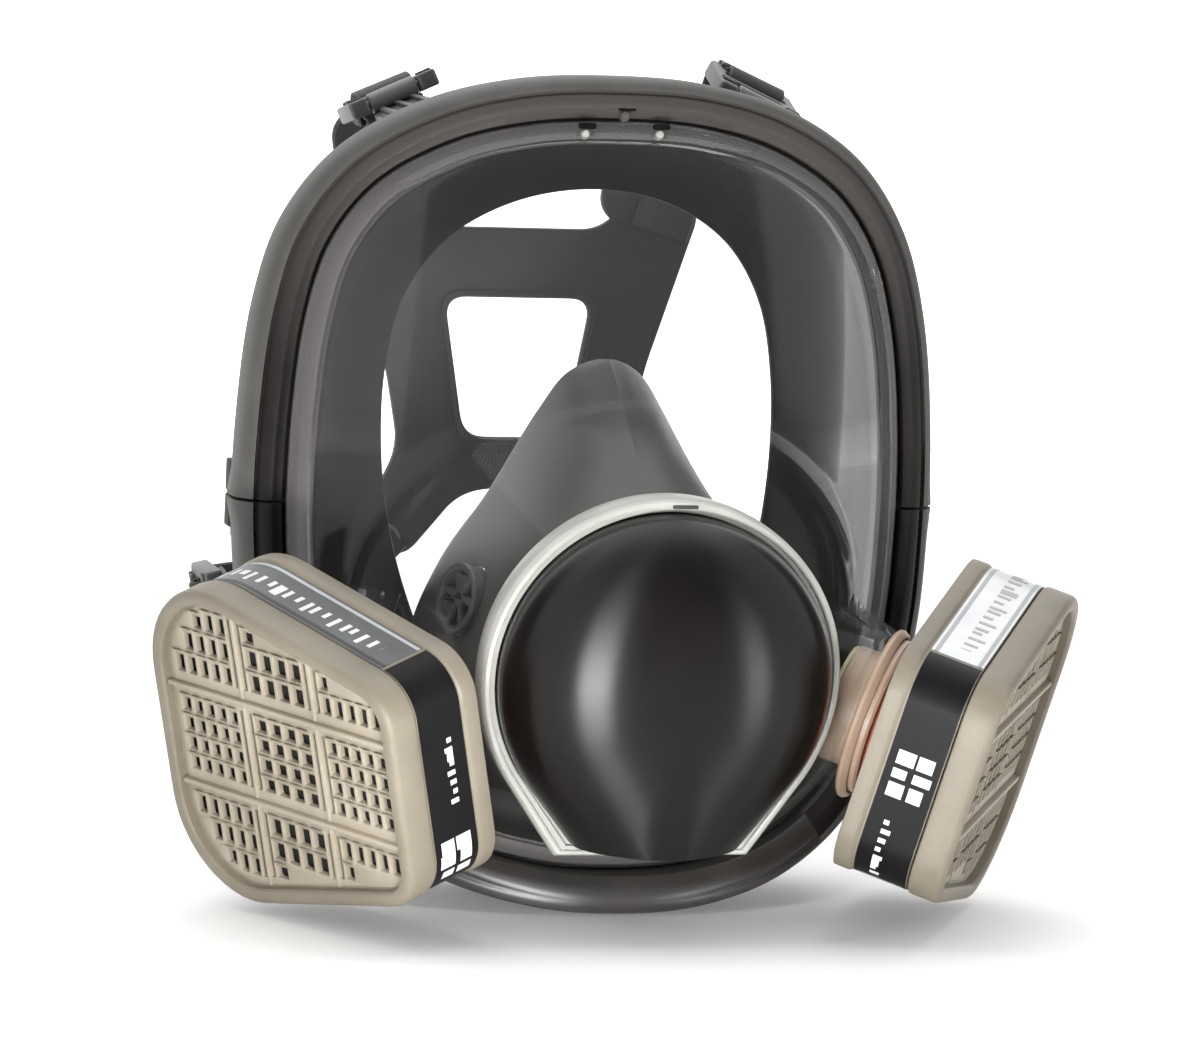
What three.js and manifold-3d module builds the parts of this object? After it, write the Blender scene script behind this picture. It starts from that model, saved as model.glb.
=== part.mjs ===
// Full face respirator: wrap-round lens in a two-part frame, rubber face seal, nose cup, centre exhalation
// unit, two bayonet ports with chemical cartridges, and a moulded rubber head harness on four buckles.
// Millimetres, +Z up. The mask looks along -Y and stands on its chin and the lower edges of its cartridges.

import * as THREE from 'three';
import { mergeVertices } from 'three/addons/utils/BufferGeometryUtils.js';
import Module from 'manifold-3d';

const wasm = await Module();
wasm.setup();

// ---------------------------------------------------------------------------------------------------------
// Driving dimensions
// ---------------------------------------------------------------------------------------------------------

const GAP = 0.3; // clearance between touching pieces
const DEPTH_CENTRE = -14.9; // y of the middle of the object's depth, moved to y = 0 at the end

// Front view of the frame's outer edge and of the face opening, right half from the top to the chin: [x, z].
const FRAME_EDGE = [
  [0, 203.5], [24, 202], [46, 196], [66.5, 183.5], [79.5, 166], [86, 145],
  [89.3, 115], [89.5, 88], [87, 65], [79.5, 42], [65, 21], [45, 7.6], [22, 1], [0, -0.5],
];
const OPENING_EDGE = [
  [0, 174.5], [20, 171], [36.5, 161], [46.5, 146], [50.5, 128], [51, 108],
  [49, 90], [45, 73], [38, 55], [28, 40], [14, 31], [0, 29],
];
const NOSE_EDGE = [
  [0, 133], [9, 129.5], [16, 120], [28, 99], [39, 82], [46, 63], [44, 45], [34, 30], [17, 23], [0, 22],
];

const WRAP_RADIUS = 146; // the lens bends round the face about a vertical axis
const WRAP_FRONT = -36; // y of the wrap surface on the centre line, at WRAP_LEVEL
const WRAP_LEVEL = 100;
const WRAP_TOP_LEAN = 16; // how far the surface leans back, 100 above WRAP_LEVEL
const WRAP_CHIN_LEAN = 9; // how far it comes forward, 100 below it

// Frame section, as distance in from its outer edge and depth behind the wrap surface.
const FRAME_WIDTH = 10;
const FRAME_DEPTH = 15.5;
const GROOVE_FRONT = 4;
const GROOVE_BACK = 12;
const GROOVE_FLOOR = 4;
const CHIN_LIP = 8; // how far the lower frame stands forward under the chin
const SEAM_HEIGHT = 96; // the upper and lower frames meet here
const SEAM_GAP = 0.8;

const LENS_THICKNESS = 2.5;
const LENS_STEP = 5; // the lens's face stands this far forward of its edge in the groove
const SEAL_THICKNESS = 2.6;
const SEAL_CLEARANCE = 0.6; // between the lens's back and the seal's flange

// Exhalation unit. Its axis points forward and a little down; distances along it run from the ring's face.
const UNIT_CENTRE = new THREE.Vector3(0, -80.5, 62.6);
const UNIT_TILT = THREE.MathUtils.degToRad(5);
const RING_RADIUS = 44.5;
const COVER_RADIUS = 41;
const COVER_RISE = 21;
const MOUTH_DROP = 40; // the cover stops this far below the axis, where it is open
const COVER_MOUTH = 20.5; // half its width there
const RING_MOUTH = 24; // half the width of the ring's lower lip
const RING_DROP = 43.5;
const RECESS = 3; // the cover's edge sits this deep in the ring
const OUTLINE_STEPS = 32;
const NECK_RADIUS = 35;
const NECK_BORE = 31;
const SNOUT_FACE = -14.3; // front of the lens round the neck
const SNOUT_RADIUS = 42.5;
const SNOUT_SLOPE = 0.52;
const SNOUT_END = -66;

// Cartridges: the outer face looks sideways, forward and down.
const FACE_CENTRE = new THREE.Vector3(91.3, -70.1, 40.4);
const FACE_AZIMUTH = THREE.MathUtils.degToRad(61);
const FACE_DROP = THREE.MathUtils.degToRad(16.5);
const FACE_ROLL = THREE.MathUtils.degToRad(4);
const CART_LENGTH = 86.3;
const CART_TALL_END = 94; // height of the rear end, corners left square
const CART_SHORT_END = 54;
const CART_TALL_ROUND = 24.5;
const CART_SHORT_ROUND = 12;
const CART_DEPTH = 28;
const LID_START = 19.5; // the lid is an inverted cup over the body
const LID_WALL = 1.5;
const GRILLE_FRONT = 25.2;
const GRILLE_THICKNESS = 2;
const BODY_WALL = 1.8;
const BODY_INSET = 0.7; // the body's side stands this far in from the lid's rim
const BODY_TOP = 22.5;
const BACK_WALL = 2.2;

// Bayonet ports, along the cartridge's own axis, forward of the cartridge's back face.
const PORT_BORE = 12.5;
const PORT_RADIUS = 14.8;
const LUG_RADIUS = 17.2;
const LUG_ANGLE = THREE.MathUtils.degToRad(28); // each lug hooks over a tab in the cartridge's back
const TAB_ANGLE = THREE.MathUtils.degToRad(60);
const FLANGE_RADIUS = 20;
const BOSS_RADIUS = 21.5;
const BOSS_FACE = -9.3;
const PORT_END = -16;

const BUCKLE_WIDTH = 24;
const BUCKLE_LENGTH = 22;
const BUCKLE_THICKNESS = 4.4;
const PIN_RADIUS = 1.1;
const STRAP_WIDTH = 16;
const STRAP_THICKNESS = 2.6;
const CRADLE_DEPTH = 80; // y of the harness cradle behind the temples
const RING_STEPS = 28; // facets of a round piece
const UPPER_STEPS = 26; // spans along the upper frame
const LOWER_STEPS = 20;

// ---------------------------------------------------------------------------------------------------------
// Geometry helpers
// ---------------------------------------------------------------------------------------------------------

function signedVolume(geometry) {
  const p = geometry.getAttribute('position');
  const index = geometry.index.array;
  const a = new THREE.Vector3();
  const b = new THREE.Vector3();
  const c = new THREE.Vector3();
  let sum = 0;
  for (let i = 0; i < index.length; i += 3) {
    a.fromBufferAttribute(p, index[i]);
    b.fromBufferAttribute(p, index[i + 1]);
    c.fromBufferAttribute(p, index[i + 2]);
    sum += a.dot(b.cross(c));
  }
  return sum / 6;
}

// A closed geometry as a manifold solid, turned so that its faces point outwards.
function solid(source) {
  const bare = source.clone();
  bare.deleteAttribute('normal');
  bare.deleteAttribute('uv');
  const merged = mergeVertices(bare, 1e-3);
  const corners = [];
  const index = merged.index.array;
  for (let i = 0; i < index.length; i += 3) {
    const [a, b, c] = [index[i], index[i + 1], index[i + 2]];
    if (a !== b && b !== c && c !== a) corners.push(a, b, c);
  }
  merged.setIndex(corners);
  if (signedVolume(merged) < 0) corners.reverse();
  return new wasm.Manifold(new wasm.Mesh({
    numProp: 3,
    vertProperties: new Float32Array(merged.attributes.position.array),
    triVerts: new Uint32Array(corners),
  }));
}

function geometryOf(body) {
  const mesh = body.getMesh();
  const geometry = new THREE.BufferGeometry();
  geometry.setAttribute('position', new THREE.BufferAttribute(new Float32Array(mesh.vertProperties), 3));
  geometry.setIndex(new THREE.BufferAttribute(new Uint32Array(mesh.triVerts), 1));
  geometry.computeVertexNormals();
  return geometry;
}

function moved(body, matrix) {
  return solid(geometryOf(body).applyMatrix4(matrix));
}

const joined = (bodies) => bodies.reduce((whole, next) => whole.add(next));

// A skin over rings of equal length, joined end to end or capped over the first and last ring.
function skin(rings, endless, caps) {
  const count = rings[0].length;
  const position = rings.flat().flatMap((p) => [p.x, p.y, p.z]);
  const index = [];
  const spans = endless ? rings.length : rings.length - 1;
  for (let i = 0; i < spans; i += 1) {
    const here = i * count;
    const next = ((i + 1) % rings.length) * count;
    for (let k = 0; k < count; k += 1) {
      const n = (k + 1) % count;
      index.push(here + k, next + k, next + n, here + k, next + n, here + n);
    }
  }
  if (!endless) {
    const last = (rings.length - 1) * count;
    for (const [a, b, c] of caps) {
      index.push(a, b, c, last + c, last + b, last + a);
    }
  }
  const geometry = new THREE.BufferGeometry();
  geometry.setAttribute('position', new THREE.Float32BufferAttribute(position, 3));
  geometry.setIndex(index);
  return geometry;
}

// Triangles over a convex ring.
const fan = (count) => Array.from({ length: count - 2 }, (_, i) => [0, i + 1, i + 2]);

// Triangles over a flat section, wound so that they meet the skin's own direction.
function capOf(section) {
  const flat = section.map(([x, y]) => new THREE.Vector2(x, y));
  const area = THREE.ShapeUtils.area(flat);
  const triangles = THREE.ShapeUtils.triangulateShape(flat, []);
  return triangles.map(([a, b, c]) => {
    const [p, q, r] = [flat[a], flat[b], flat[c]];
    const turn = (q.x - p.x) * (r.y - p.y) - (q.y - p.y) * (r.x - p.x);
    return turn * area > 0 ? [a, b, c] : [a, c, b];
  });
}

// A solid of revolution about +Z from a closed profile of [radius, height] points.
function lathe(profile, steps = RING_STEPS) {
  const points = [...profile, profile[0]].map(([r, h]) => new THREE.Vector2(r, h));
  return solid(new THREE.LatheGeometry(points, steps).rotateX(Math.PI / 2));
}

const disc = (radius, low, high, steps) => lathe([[0, low], [radius, low], [radius, high], [0, high]], steps);

const tube = (inner, outer, low, high, steps) =>
  lathe([[inner, low], [outer, low], [outer, high], [inner, high]], steps);

function block(width, depth, height, x, y, z) {
  return solid(new THREE.BoxGeometry(width, depth, height).translate(x, y, z));
}

function slab(shape, low, high, curveSegments = 6) {
  const options = { depth: high - low, bevelEnabled: false, curveSegments };
  return solid(new THREE.ExtrudeGeometry(shape, options).translate(0, 0, low));
}

// Three equal pieces spaced round +Z.
function threeAround(body) {
  return joined([0, 1, 2].map((i) => moved(body, new THREE.Matrix4().makeRotationZ((i * 2 * Math.PI) / 3))));
}

function frameMatrix(origin, x, z) {
  const y = new THREE.Vector3().crossVectors(z, x);
  return new THREE.Matrix4().makeBasis(x, y, z).setPosition(origin);
}

// ---------------------------------------------------------------------------------------------------------
// Scene graph
// ---------------------------------------------------------------------------------------------------------

const group = new THREE.Group();
group.position.y = -DEPTH_CENTRE;

const FINISH = {
  frame: { color: 0x2b2a2b, roughness: 0.55, metalness: 0 },
  seal: { color: 0x343233, roughness: 0.75, metalness: 0 },
  lens: { color: 0xdfe4e6, roughness: 0.05, metalness: 0, transparent: true, opacity: 0.25 },
  nose: { color: 0x5a5859, roughness: 0.6, metalness: 0 },
  adapter: { color: 0xb9bbb8, roughness: 0.4, metalness: 0 },
  cover: { color: 0x1c1816, roughness: 0.3, metalness: 0 },
  valve: { color: 0xd9cfa8, roughness: 0.5, metalness: 0 },
  gasket: { color: 0xb0503a, roughness: 0.6, metalness: 0 },
  cartridge: { color: 0xa39c8c, roughness: 0.55, metalness: 0 },
  carbon: { color: 0x151515, roughness: 0.95, metalness: 0 },
  felt: { color: 0xd8d6cf, roughness: 0.95, metalness: 0 },
  harness: { color: 0x3a3636, roughness: 0.7, metalness: 0 },
  buckle: { color: 0x232223, roughness: 0.5, metalness: 0 },
  steel: { color: 0x8d8f92, roughness: 0.35, metalness: 1 },
};

function add(name, body, finish, parent = group) {
  const mesh = new THREE.Mesh(geometryOf(body), new THREE.MeshStandardMaterial(FINISH[finish]));
  mesh.name = name;
  parent.add(mesh);
}

function placed(matrix) {
  const holder = new THREE.Group();
  holder.applyMatrix4(matrix);
  group.add(holder);
  return holder;
}

const SIDES = [['left', -1], ['right', 1]];

// ---------------------------------------------------------------------------------------------------------
// Wrap surface and outlines
// ---------------------------------------------------------------------------------------------------------

function wrapDepth(x, z) {
  const rise = (z - WRAP_LEVEL) / 100;
  const lean = rise > 0 ? WRAP_TOP_LEAN * rise * rise : -WRAP_CHIN_LEAN * rise * rise;
  return WRAP_FRONT + lean + WRAP_RADIUS - Math.sqrt(WRAP_RADIUS * WRAP_RADIUS - x * x);
}

function outline(half) {
  const left = half.slice(1, -1).reverse().map(([x, z]) => [-x, z]);
  const points = [...half, ...left].map(([x, z]) => new THREE.Vector3(x, 0, z));
  return new THREE.CatmullRomCurve3(points, true, 'centripetal');
}

const frameEdge = outline(FRAME_EDGE);
const openingEdge = outline(OPENING_EDGE);
const noseEdge = outline(NOSE_EDGE);

const around = (u) => ((u % 1) + 1) % 1;

// A point on the frame's outline, moved out by `out` and laid `depth` behind the wrap surface.
function framePoint(u, out, depth) {
  const p = frameEdge.getPointAt(around(u));
  const t = frameEdge.getTangentAt(around(u));
  const x = p.x - t.z * out;
  const z = p.z + t.x * out;
  return new THREE.Vector3(x, wrapDepth(x, z) + depth, z);
}

// Where the outline passes a height on the right-hand side, as a share of its length from the top.
function outlineShare(height) {
  let low = 0;
  let high = 0.5;
  for (let i = 0; i < 40; i += 1) {
    const middle = (low + high) / 2;
    if (frameEdge.getPointAt(middle).z > height) low = middle;
    else high = middle;
  }
  return low;
}

// ---------------------------------------------------------------------------------------------------------
// Frame
// ---------------------------------------------------------------------------------------------------------

const FRAME_SECTION = [
  [-FRAME_WIDTH, 1], [-FRAME_WIDTH + 1.5, 0], [-2.5, 0], [0, 3], [0, FRAME_DEPTH - 3],
  [-2.5, FRAME_DEPTH], [-FRAME_WIDTH, FRAME_DEPTH], [-FRAME_WIDTH, GROOVE_BACK],
  [-GROOVE_FLOOR, GROOVE_BACK], [-GROOVE_FLOOR, GROOVE_FRONT], [-FRAME_WIDTH, GROOVE_FRONT],
];
const FRONT_POINTS = 4; // how many of them, from the start, follow the chin lip forward

// 1 at the chin, fading to 0 along the jaw; u is the share of the outline's length from the top.
function chinShare(u) {
  const near = Math.max(0, 1 - Math.abs(around(u) - 0.5) / 0.19);
  return near * near * (3 - 2 * near);
}

function sharesBetween(from, to, steps) {
  return Array.from({ length: steps + 1 }, (_, i) => from + ((to - from) * i) / steps);
}

function frameRun(shares) {
  const rings = shares.map((u) => FRAME_SECTION.map(([out, depth], k) =>
    framePoint(u, out, depth - (k < FRONT_POINTS ? CHIN_LIP * chinShare(u) : 0))));
  return solid(skin(rings, false, capOf(FRAME_SECTION)));
}

// Lugs behind the seam take the screws that draw the two halves together.
const LUG_SIZE = 7.4;
const LUG_HEIGHT = 8;
const SCREW_RADIUS = 1.3;
const seamShare = outlineShare(SEAM_HEIGHT);
const seamPoint = framePoint(seamShare, -LUG_SIZE / 2 + 0.2, FRAME_DEPTH);
const lugX = seamPoint.x;
const lugY = seamPoint.y + LUG_SIZE / 2 - 1;
const screwY = lugY + 0.6;

function seamLug(side, low) {
  const body = block(LUG_SIZE, LUG_SIZE, LUG_HEIGHT, side * lugX, lugY, low + LUG_HEIGHT / 2);
  const hole = moved(
    disc(SCREW_RADIUS + GAP, -14, 14, 10),
    new THREE.Matrix4().makeTranslation(side * lugX, screwY, SEAM_HEIGHT),
  );
  return [body, hole];
}

const halfGap = SEAM_GAP / 2 / frameEdge.getLength();
const upperShares = sharesBetween(-seamShare + halfGap, seamShare - halfGap, UPPER_STEPS);
const lowerShares = sharesBetween(seamShare + halfGap, 1 - seamShare - halfGap, LOWER_STEPS);
let upperFrame = frameRun(upperShares);
let lowerFrame = frameRun(lowerShares);
for (const [, side] of SIDES) {
  const [upperLug, upperHole] = seamLug(side, SEAM_HEIGHT + SEAM_GAP / 2);
  const [lowerLug, lowerHole] = seamLug(side, SEAM_HEIGHT - SEAM_GAP / 2 - LUG_HEIGHT);
  upperFrame = upperFrame.add(upperLug).subtract(upperHole);
  lowerFrame = lowerFrame.add(lowerLug).subtract(lowerHole);
}
const underFloor = block(400, 400, 20, 0, 0, -10);
lowerFrame = lowerFrame.subtract(underFloor); // a flat foot under the chin
add('upper_frame', upperFrame, 'frame');
add('lower_frame', lowerFrame, 'frame');

for (const [name, side] of SIDES) {
  const axis = placed(new THREE.Matrix4().makeTranslation(side * lugX, screwY, SEAM_HEIGHT));
  const top = SEAM_GAP / 2 + LUG_HEIGHT + GAP;
  const shank = disc(SCREW_RADIUS, -top - 3, top, 10);
  const head = disc(2.5, top, top + 1.8, 10).subtract(block(0.8, 8, 1.4, 0, 0, top + 1.8));
  add(`${name}_frame_screw`, shank.add(head), 'steel', axis);
  const nut = disc(2.7, -top - 2.2, -top, 6).subtract(disc(SCREW_RADIUS + GAP, -top - 4, -top + 1, 10));
  add(`${name}_frame_nut`, nut, 'steel', axis);
}

// ---------------------------------------------------------------------------------------------------------
// Centre exhalation unit
// ---------------------------------------------------------------------------------------------------------

const unitAxis = new THREE.Vector3(0, -Math.cos(UNIT_TILT), -Math.sin(UNIT_TILT));
const unitMatrix = frameMatrix(UNIT_CENTRE, new THREE.Vector3(1, 0, 0), unitAxis);
const unit = placed(unitMatrix);

// A circle whose sides run straight down to a mouth that reaches `half` to each side, `drop` below the axis.
function mouthOutline(radius, half, drop, reach = 1) {
  const far = Math.hypot(half, drop);
  const touch = Math.acos(radius / far) - Math.atan2(drop, half);
  const points = [];
  for (let i = 0; i <= OUTLINE_STEPS; i += 1) {
    const angle = touch + ((Math.PI - 2 * touch) * i) / OUTLINE_STEPS;
    points.push(new THREE.Vector2(radius * Math.cos(angle), radius * Math.sin(angle)));
  }
  const corner = new THREE.Vector2(half, -drop).sub(points[0]).multiplyScalar(reach).add(points[0]);
  points.push(new THREE.Vector2(-corner.x, corner.y), corner);
  return points;
}

const ringOutline = mouthOutline(RING_RADIUS, RING_MOUTH, RING_DROP);
const recessOutline = mouthOutline(COVER_RADIUS + GAP, COVER_MOUTH + 0.5, MOUTH_DROP + 1);
const ring = lathe([
  [NECK_BORE, -25], [NECK_RADIUS, -25], [NECK_RADIUS, -12], [40.5, -12], [42.8, -9], [RING_RADIUS, -2.5],
  [RING_RADIUS - 0.8, -1], [NECK_BORE, -1],
], 36)
  .add(slab(new THREE.Shape(ringOutline), -7, 0))
  .subtract(slab(new THREE.Shape(recessOutline), -RECESS, 1))
  .subtract(disc(NECK_BORE, -8, 1, RING_STEPS));
const seatSpoke = block(3, NECK_BORE - 4, 2.4, 0, NECK_BORE / 2, -12.8);
const seat = tube(26, NECK_BORE - GAP, -14, -11, RING_STEPS)
  .add(disc(5, -14, -11, 16))
  .add(threeAround(seatSpoke).intersect(disc(NECK_BORE - 1, -14, -11, RING_STEPS)));
add('centre_adapter', ring, 'adapter', unit);
add('exhalation_valve_seat', seat, 'adapter', unit);
add('exhalation_valve_flap', disc(28, -10.7, -9.7, 32).add(disc(4, -10.7, -8.2, 16)), 'valve', unit);
add('centre_gasket', tube(NECK_RADIUS + GAP, 39.5, SNOUT_FACE + GAP, -12 - GAP, RING_STEPS), 'seal', unit);
add('adapter_lock_ring', tube(NECK_RADIUS + GAP, 37.8, -20.4, -17.1, RING_STEPS), 'adapter', unit);

// The cover is a hood over the valve, cut off below so that breath leaves downwards.
function hood(thin, base) {
  const edge = mouthOutline(COVER_RADIUS - thin, COVER_MOUTH - thin, MOUTH_DROP, 2.2);
  const shoulder = 1.3;
  const top = COVER_RISE - thin;
  const rings = [edge.map((p) => new THREE.Vector3(p.x, p.y, base))];
  for (const turn of [0, 0.17, 0.34, 0.5, 0.66, 0.82, 0.94]) {
    const angle = (turn * Math.PI) / 2;
    const share = Math.cos(angle) ** 0.9;
    const height = shoulder + (top - shoulder) * Math.sin(angle);
    rings.push(edge.map((p) => new THREE.Vector3(p.x * share, p.y * share, height)));
  }
  return solid(skin(rings, false, fan(edge.length)));
}
const below = block(120, 80, 80, 0, -MOUTH_DROP - 40, 20);
const cover = hood(0, -2.7).subtract(hood(2, -2.7 - 1)).subtract(below);
add('exhalation_cover', cover, 'cover', unit);

// ---------------------------------------------------------------------------------------------------------
// Cartridge frames: x runs towards the narrow front end, z out through the face, origin in the back face
// ---------------------------------------------------------------------------------------------------------

function cartridgeMatrix(side) {
  const flat = Math.cos(FACE_DROP);
  const out = new THREE.Vector3(
    side * Math.sin(FACE_AZIMUTH) * flat,
    -Math.cos(FACE_AZIMUTH) * flat,
    -Math.sin(FACE_DROP),
  );
  const level = new THREE.Vector3(-side * Math.cos(FACE_AZIMUTH), -Math.sin(FACE_AZIMUTH), 0);
  const up = new THREE.Vector3(0, 0, 1).addScaledVector(out, -out.z).normalize();
  const along = level.multiplyScalar(Math.cos(FACE_ROLL)).addScaledVector(up, -Math.sin(FACE_ROLL));
  const centre = FACE_CENTRE.clone();
  centre.x *= side;
  return frameMatrix(centre.addScaledVector(out, -CART_DEPTH), along, out);
}

// The cartridge's outline, moved in by `inset`: a trapezoid with rounded corners.
function cartridgeShape(inset) {
  const half = CART_LENGTH / 2 - inset;
  const slope = (CART_TALL_END - CART_SHORT_END) / 2 / CART_LENGTH;
  const slant = inset * Math.sqrt(1 + slope * slope);
  const heightAt = (x) => CART_TALL_END / 2 - (x + CART_LENGTH / 2) * slope - slant;
  const corners = [
    [-half, -heightAt(-half), CART_TALL_ROUND], [half, -heightAt(half), CART_SHORT_ROUND],
    [half, heightAt(half), CART_SHORT_ROUND], [-half, heightAt(-half), CART_TALL_ROUND],
  ];
  const shape = new THREE.Shape();
  corners.forEach(([x, y, round], i) => {
    const here = new THREE.Vector2(x, y);
    const [px, py] = corners[(i + 3) % 4];
    const [nx, ny] = corners[(i + 1) % 4];
    const back = new THREE.Vector2(px, py).sub(here).normalize();
    const on = new THREE.Vector2(nx, ny).sub(here).normalize();
    const halfAngle = Math.acos(back.dot(on)) / 2;
    const radius = Math.max(round - inset, 2);
    const reach = radius / Math.tan(halfAngle);
    const centre = back.clone().add(on).normalize().multiplyScalar(radius / Math.sin(halfAngle)).add(here);
    const start = back.multiplyScalar(reach).add(here).sub(centre);
    const end = on.multiplyScalar(reach).add(here).sub(centre);
    shape.absarc(centre.x, centre.y, radius, start.angle(), end.angle(), false);
  });
  return shape;
}

const cartridgeSlab = (inset, low, high) => slab(cartridgeShape(inset), low, high, 3);

// ---------------------------------------------------------------------------------------------------------
// Lens
// ---------------------------------------------------------------------------------------------------------

const edgeShares = [...upperShares, ...lowerShares];
const LENS_FRONT = GROOVE_FRONT + GAP;
const LENS_BACK = LENS_FRONT + LENS_THICKNESS;
const LENS_MIDDLE = 95;

// A ring of the wrap surface: share 1 follows the outline, smaller shares shrink towards the lens's middle.
function wrapRing(inset, share, depth, shares = edgeShares) {
  return shares.map((u) => {
    const edge = framePoint(u, -inset, 0);
    const x = edge.x * share;
    const z = LENS_MIDDLE + (edge.z - LENS_MIDDLE) * share;
    return new THREE.Vector3(x, depth === null ? -130 : wrapDepth(x, z) + depth, z);
  });
}

// Inset, share and depth of the lens's rings: flat in the groove, then a rounded step forward to the face.
const LENS_RINGS = [
  [GROOVE_FLOOR + GAP, 1, LENS_FRONT], [FRAME_WIDTH + 0.8, 1, LENS_FRONT],
  [FRAME_WIDTH + 3, 1, LENS_FRONT - 3], [FRAME_WIDTH + 7, 1, LENS_FRONT - LENS_STEP],
  [FRAME_WIDTH + 7, 0.6, LENS_FRONT - LENS_STEP], [FRAME_WIDTH + 7, 0.2, LENS_FRONT - LENS_STEP],
].reverse();

const wrapShell = solid(skin([
  ...LENS_RINGS.map(([inset, share, depth]) => wrapRing(inset, share, depth)),
  ...[...LENS_RINGS].reverse().map(([inset, share, depth]) => wrapRing(inset, share, depth + LENS_THICKNESS)),
], false, fan(edgeShares.length)));

// Everything in front of the wrap surface and inside the frame's opening.
function inFront(inset, depth) {
  const coarse = edgeShares.filter((_, i) => i % 2 === 0);
  const rings = [[0.2, null], [1, null], [1, depth], [0.6, depth], [0.2, depth]]
    .map(([share, at]) => wrapRing(inset, share, at, coarse));
  return solid(skin(rings, false, fan(coarse.length)));
}

function snout(thin, depth) {
  const face = SNOUT_FACE - thin;
  const radius = SNOUT_RADIUS - thin;
  const base = radius + (face - SNOUT_END) * SNOUT_SLOPE;
  const cone = moved(
    lathe([[0, face], [radius - 1.5, face], [radius, face - 2], [base, SNOUT_END], [0, SNOUT_END]], 36),
    unitMatrix,
  );
  const room = moved(disc(RING_RADIUS + 1 + thin, face, 60, 36), unitMatrix);
  const bosses = SIDES.map(([, side]) =>
    moved(disc(BOSS_RADIUS - thin, -34, BOSS_FACE - thin, 24), cartridgeMatrix(side)).subtract(room));
  return joined([cone, ...bosses]).intersect(inFront(FRAME_WIDTH + GAP + thin, depth));
}

const outerSnout = snout(0, LENS_FRONT + 1.2);
const innerSnout = snout(LENS_THICKNESS, LENS_BACK + 4);
let lens = wrapShell.add(outerSnout).subtract(innerSnout);
lens = lens.subtract(moved(disc(NECK_RADIUS + GAP, -30, 0, RING_STEPS), unitMatrix));
for (const [, side] of SIDES) {
  lens = lens.subtract(moved(disc(PORT_RADIUS + GAP, -20, 0, 24), cartridgeMatrix(side)));
}
add('lens', lens, 'lens');

// ---------------------------------------------------------------------------------------------------------
// Face seal: a flange in the frame's groove, a skirt behind it and a lip turned in to the face
// ---------------------------------------------------------------------------------------------------------

const LIP_DEPTH = 30; // depth of the lip's edge behind the wrap surface on the centre line
const LIP_SIDE_DEPTH = 8; // how much deeper it lies at the temples
const CHIN_SWELL = 9;
const SEAL_OUTSIDE = [
  [-GROOVE_FLOOR - GAP, GROOVE_BACK - GAP], [-FRAME_WIDTH - GAP, GROOVE_BACK - GAP],
  [-FRAME_WIDTH - GAP, FRAME_DEPTH + GAP], [-8.5, FRAME_DEPTH + 1.5], [-8, 28], [-10, 37], [-19, 39.5],
];
const SEAL_INSIDE = [
  [-18, 39.5 - SEAL_THICKNESS], [-12.5, 34.5], [-8 - SEAL_THICKNESS, 28], [-11.2, 20], [-13, 17],
  [-13, LENS_BACK + SEAL_CLEARANCE + 1], [-12, LENS_BACK + SEAL_CLEARANCE],
  [-GROOVE_FLOOR - GAP, LENS_BACK + SEAL_CLEARANCE],
];

function openingPoint(u, depth) {
  const p = openingEdge.getPointAt(around(u));
  return new THREE.Vector3(p.x, wrapDepth(p.x, p.z) + depth + LIP_SIDE_DEPTH * (p.x / 50) ** 2, p.z);
}

// Behind the frame the skirt swells down under the chin, where the mask stands on it.
function sealPoint(u, out, depth) {
  const behind = THREE.MathUtils.smoothstep(depth, FRAME_DEPTH + 1, 28);
  return framePoint(u, out + CHIN_SWELL * chinShare(u) * behind, depth);
}

const sealRings = edgeShares.map((u) => [
  ...SEAL_OUTSIDE.map(([out, depth]) => sealPoint(u, out, depth)),
  openingPoint(u, LIP_DEPTH + 1),
  openingPoint(u, LIP_DEPTH - 1),
  ...SEAL_INSIDE.map(([out, depth]) => sealPoint(u, out, depth)),
]);
add('faceseal', solid(skin(sealRings, true)).subtract(underFloor), 'seal');

// ---------------------------------------------------------------------------------------------------------
// Nose cup: from a collar round the adapter's neck back to a lip round the nose and chin
// ---------------------------------------------------------------------------------------------------------

const NOSE_STEPS = 28;
const NOSE_THICKNESS = 2;
const NOSE_SHARES = [0, 0.35, 0.7, 1];
const COLLAR_FRONT = -21.2;
const NOSE_TOP_DEPTH = -17.5; // y of the lip over the nose
const NOSE_CHEEK_DEPTH = 10; // how much further back it lies on the cheeks
const NOSE_HALF_WIDTH = 47;
const NOSE_LEVEL = 66; // height of the middle of the mouth

function nosePoint(u, share, thin) {
  const p = noseEdge.getPointAt(around(u));
  const angle = Math.atan2(p.z - NOSE_LEVEL, p.x);
  const radius = NECK_RADIUS + GAP + NOSE_THICKNESS;
  const front = new THREE.Vector3(Math.cos(angle) * radius, Math.sin(angle) * radius, COLLAR_FRONT - 4);
  front.applyMatrix4(unitMatrix);
  const aside = Math.sqrt(Math.min(1, Math.abs(p.x) / NOSE_HALF_WIDTH));
  const back = new THREE.Vector3(p.x, NOSE_TOP_DEPTH + NOSE_CHEEK_DEPTH * aside, p.z);
  const swell = new THREE.Vector3(
    front.x * 0.25 + back.x * 0.75, front.y * 0.66 + back.y * 0.34, front.z * 0.52 + back.z * 0.48,
  );
  const rest = 1 - share;
  const at = front.multiplyScalar(rest * rest).addScaledVector(swell, 2 * share * rest)
    .addScaledVector(back, share * share);
  const spread = Math.hypot(at.x, at.z - NOSE_LEVEL);
  const shrink = (spread - thin) / spread;
  at.x *= shrink;
  at.z = NOSE_LEVEL + (at.z - NOSE_LEVEL) * shrink;
  return at;
}

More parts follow.
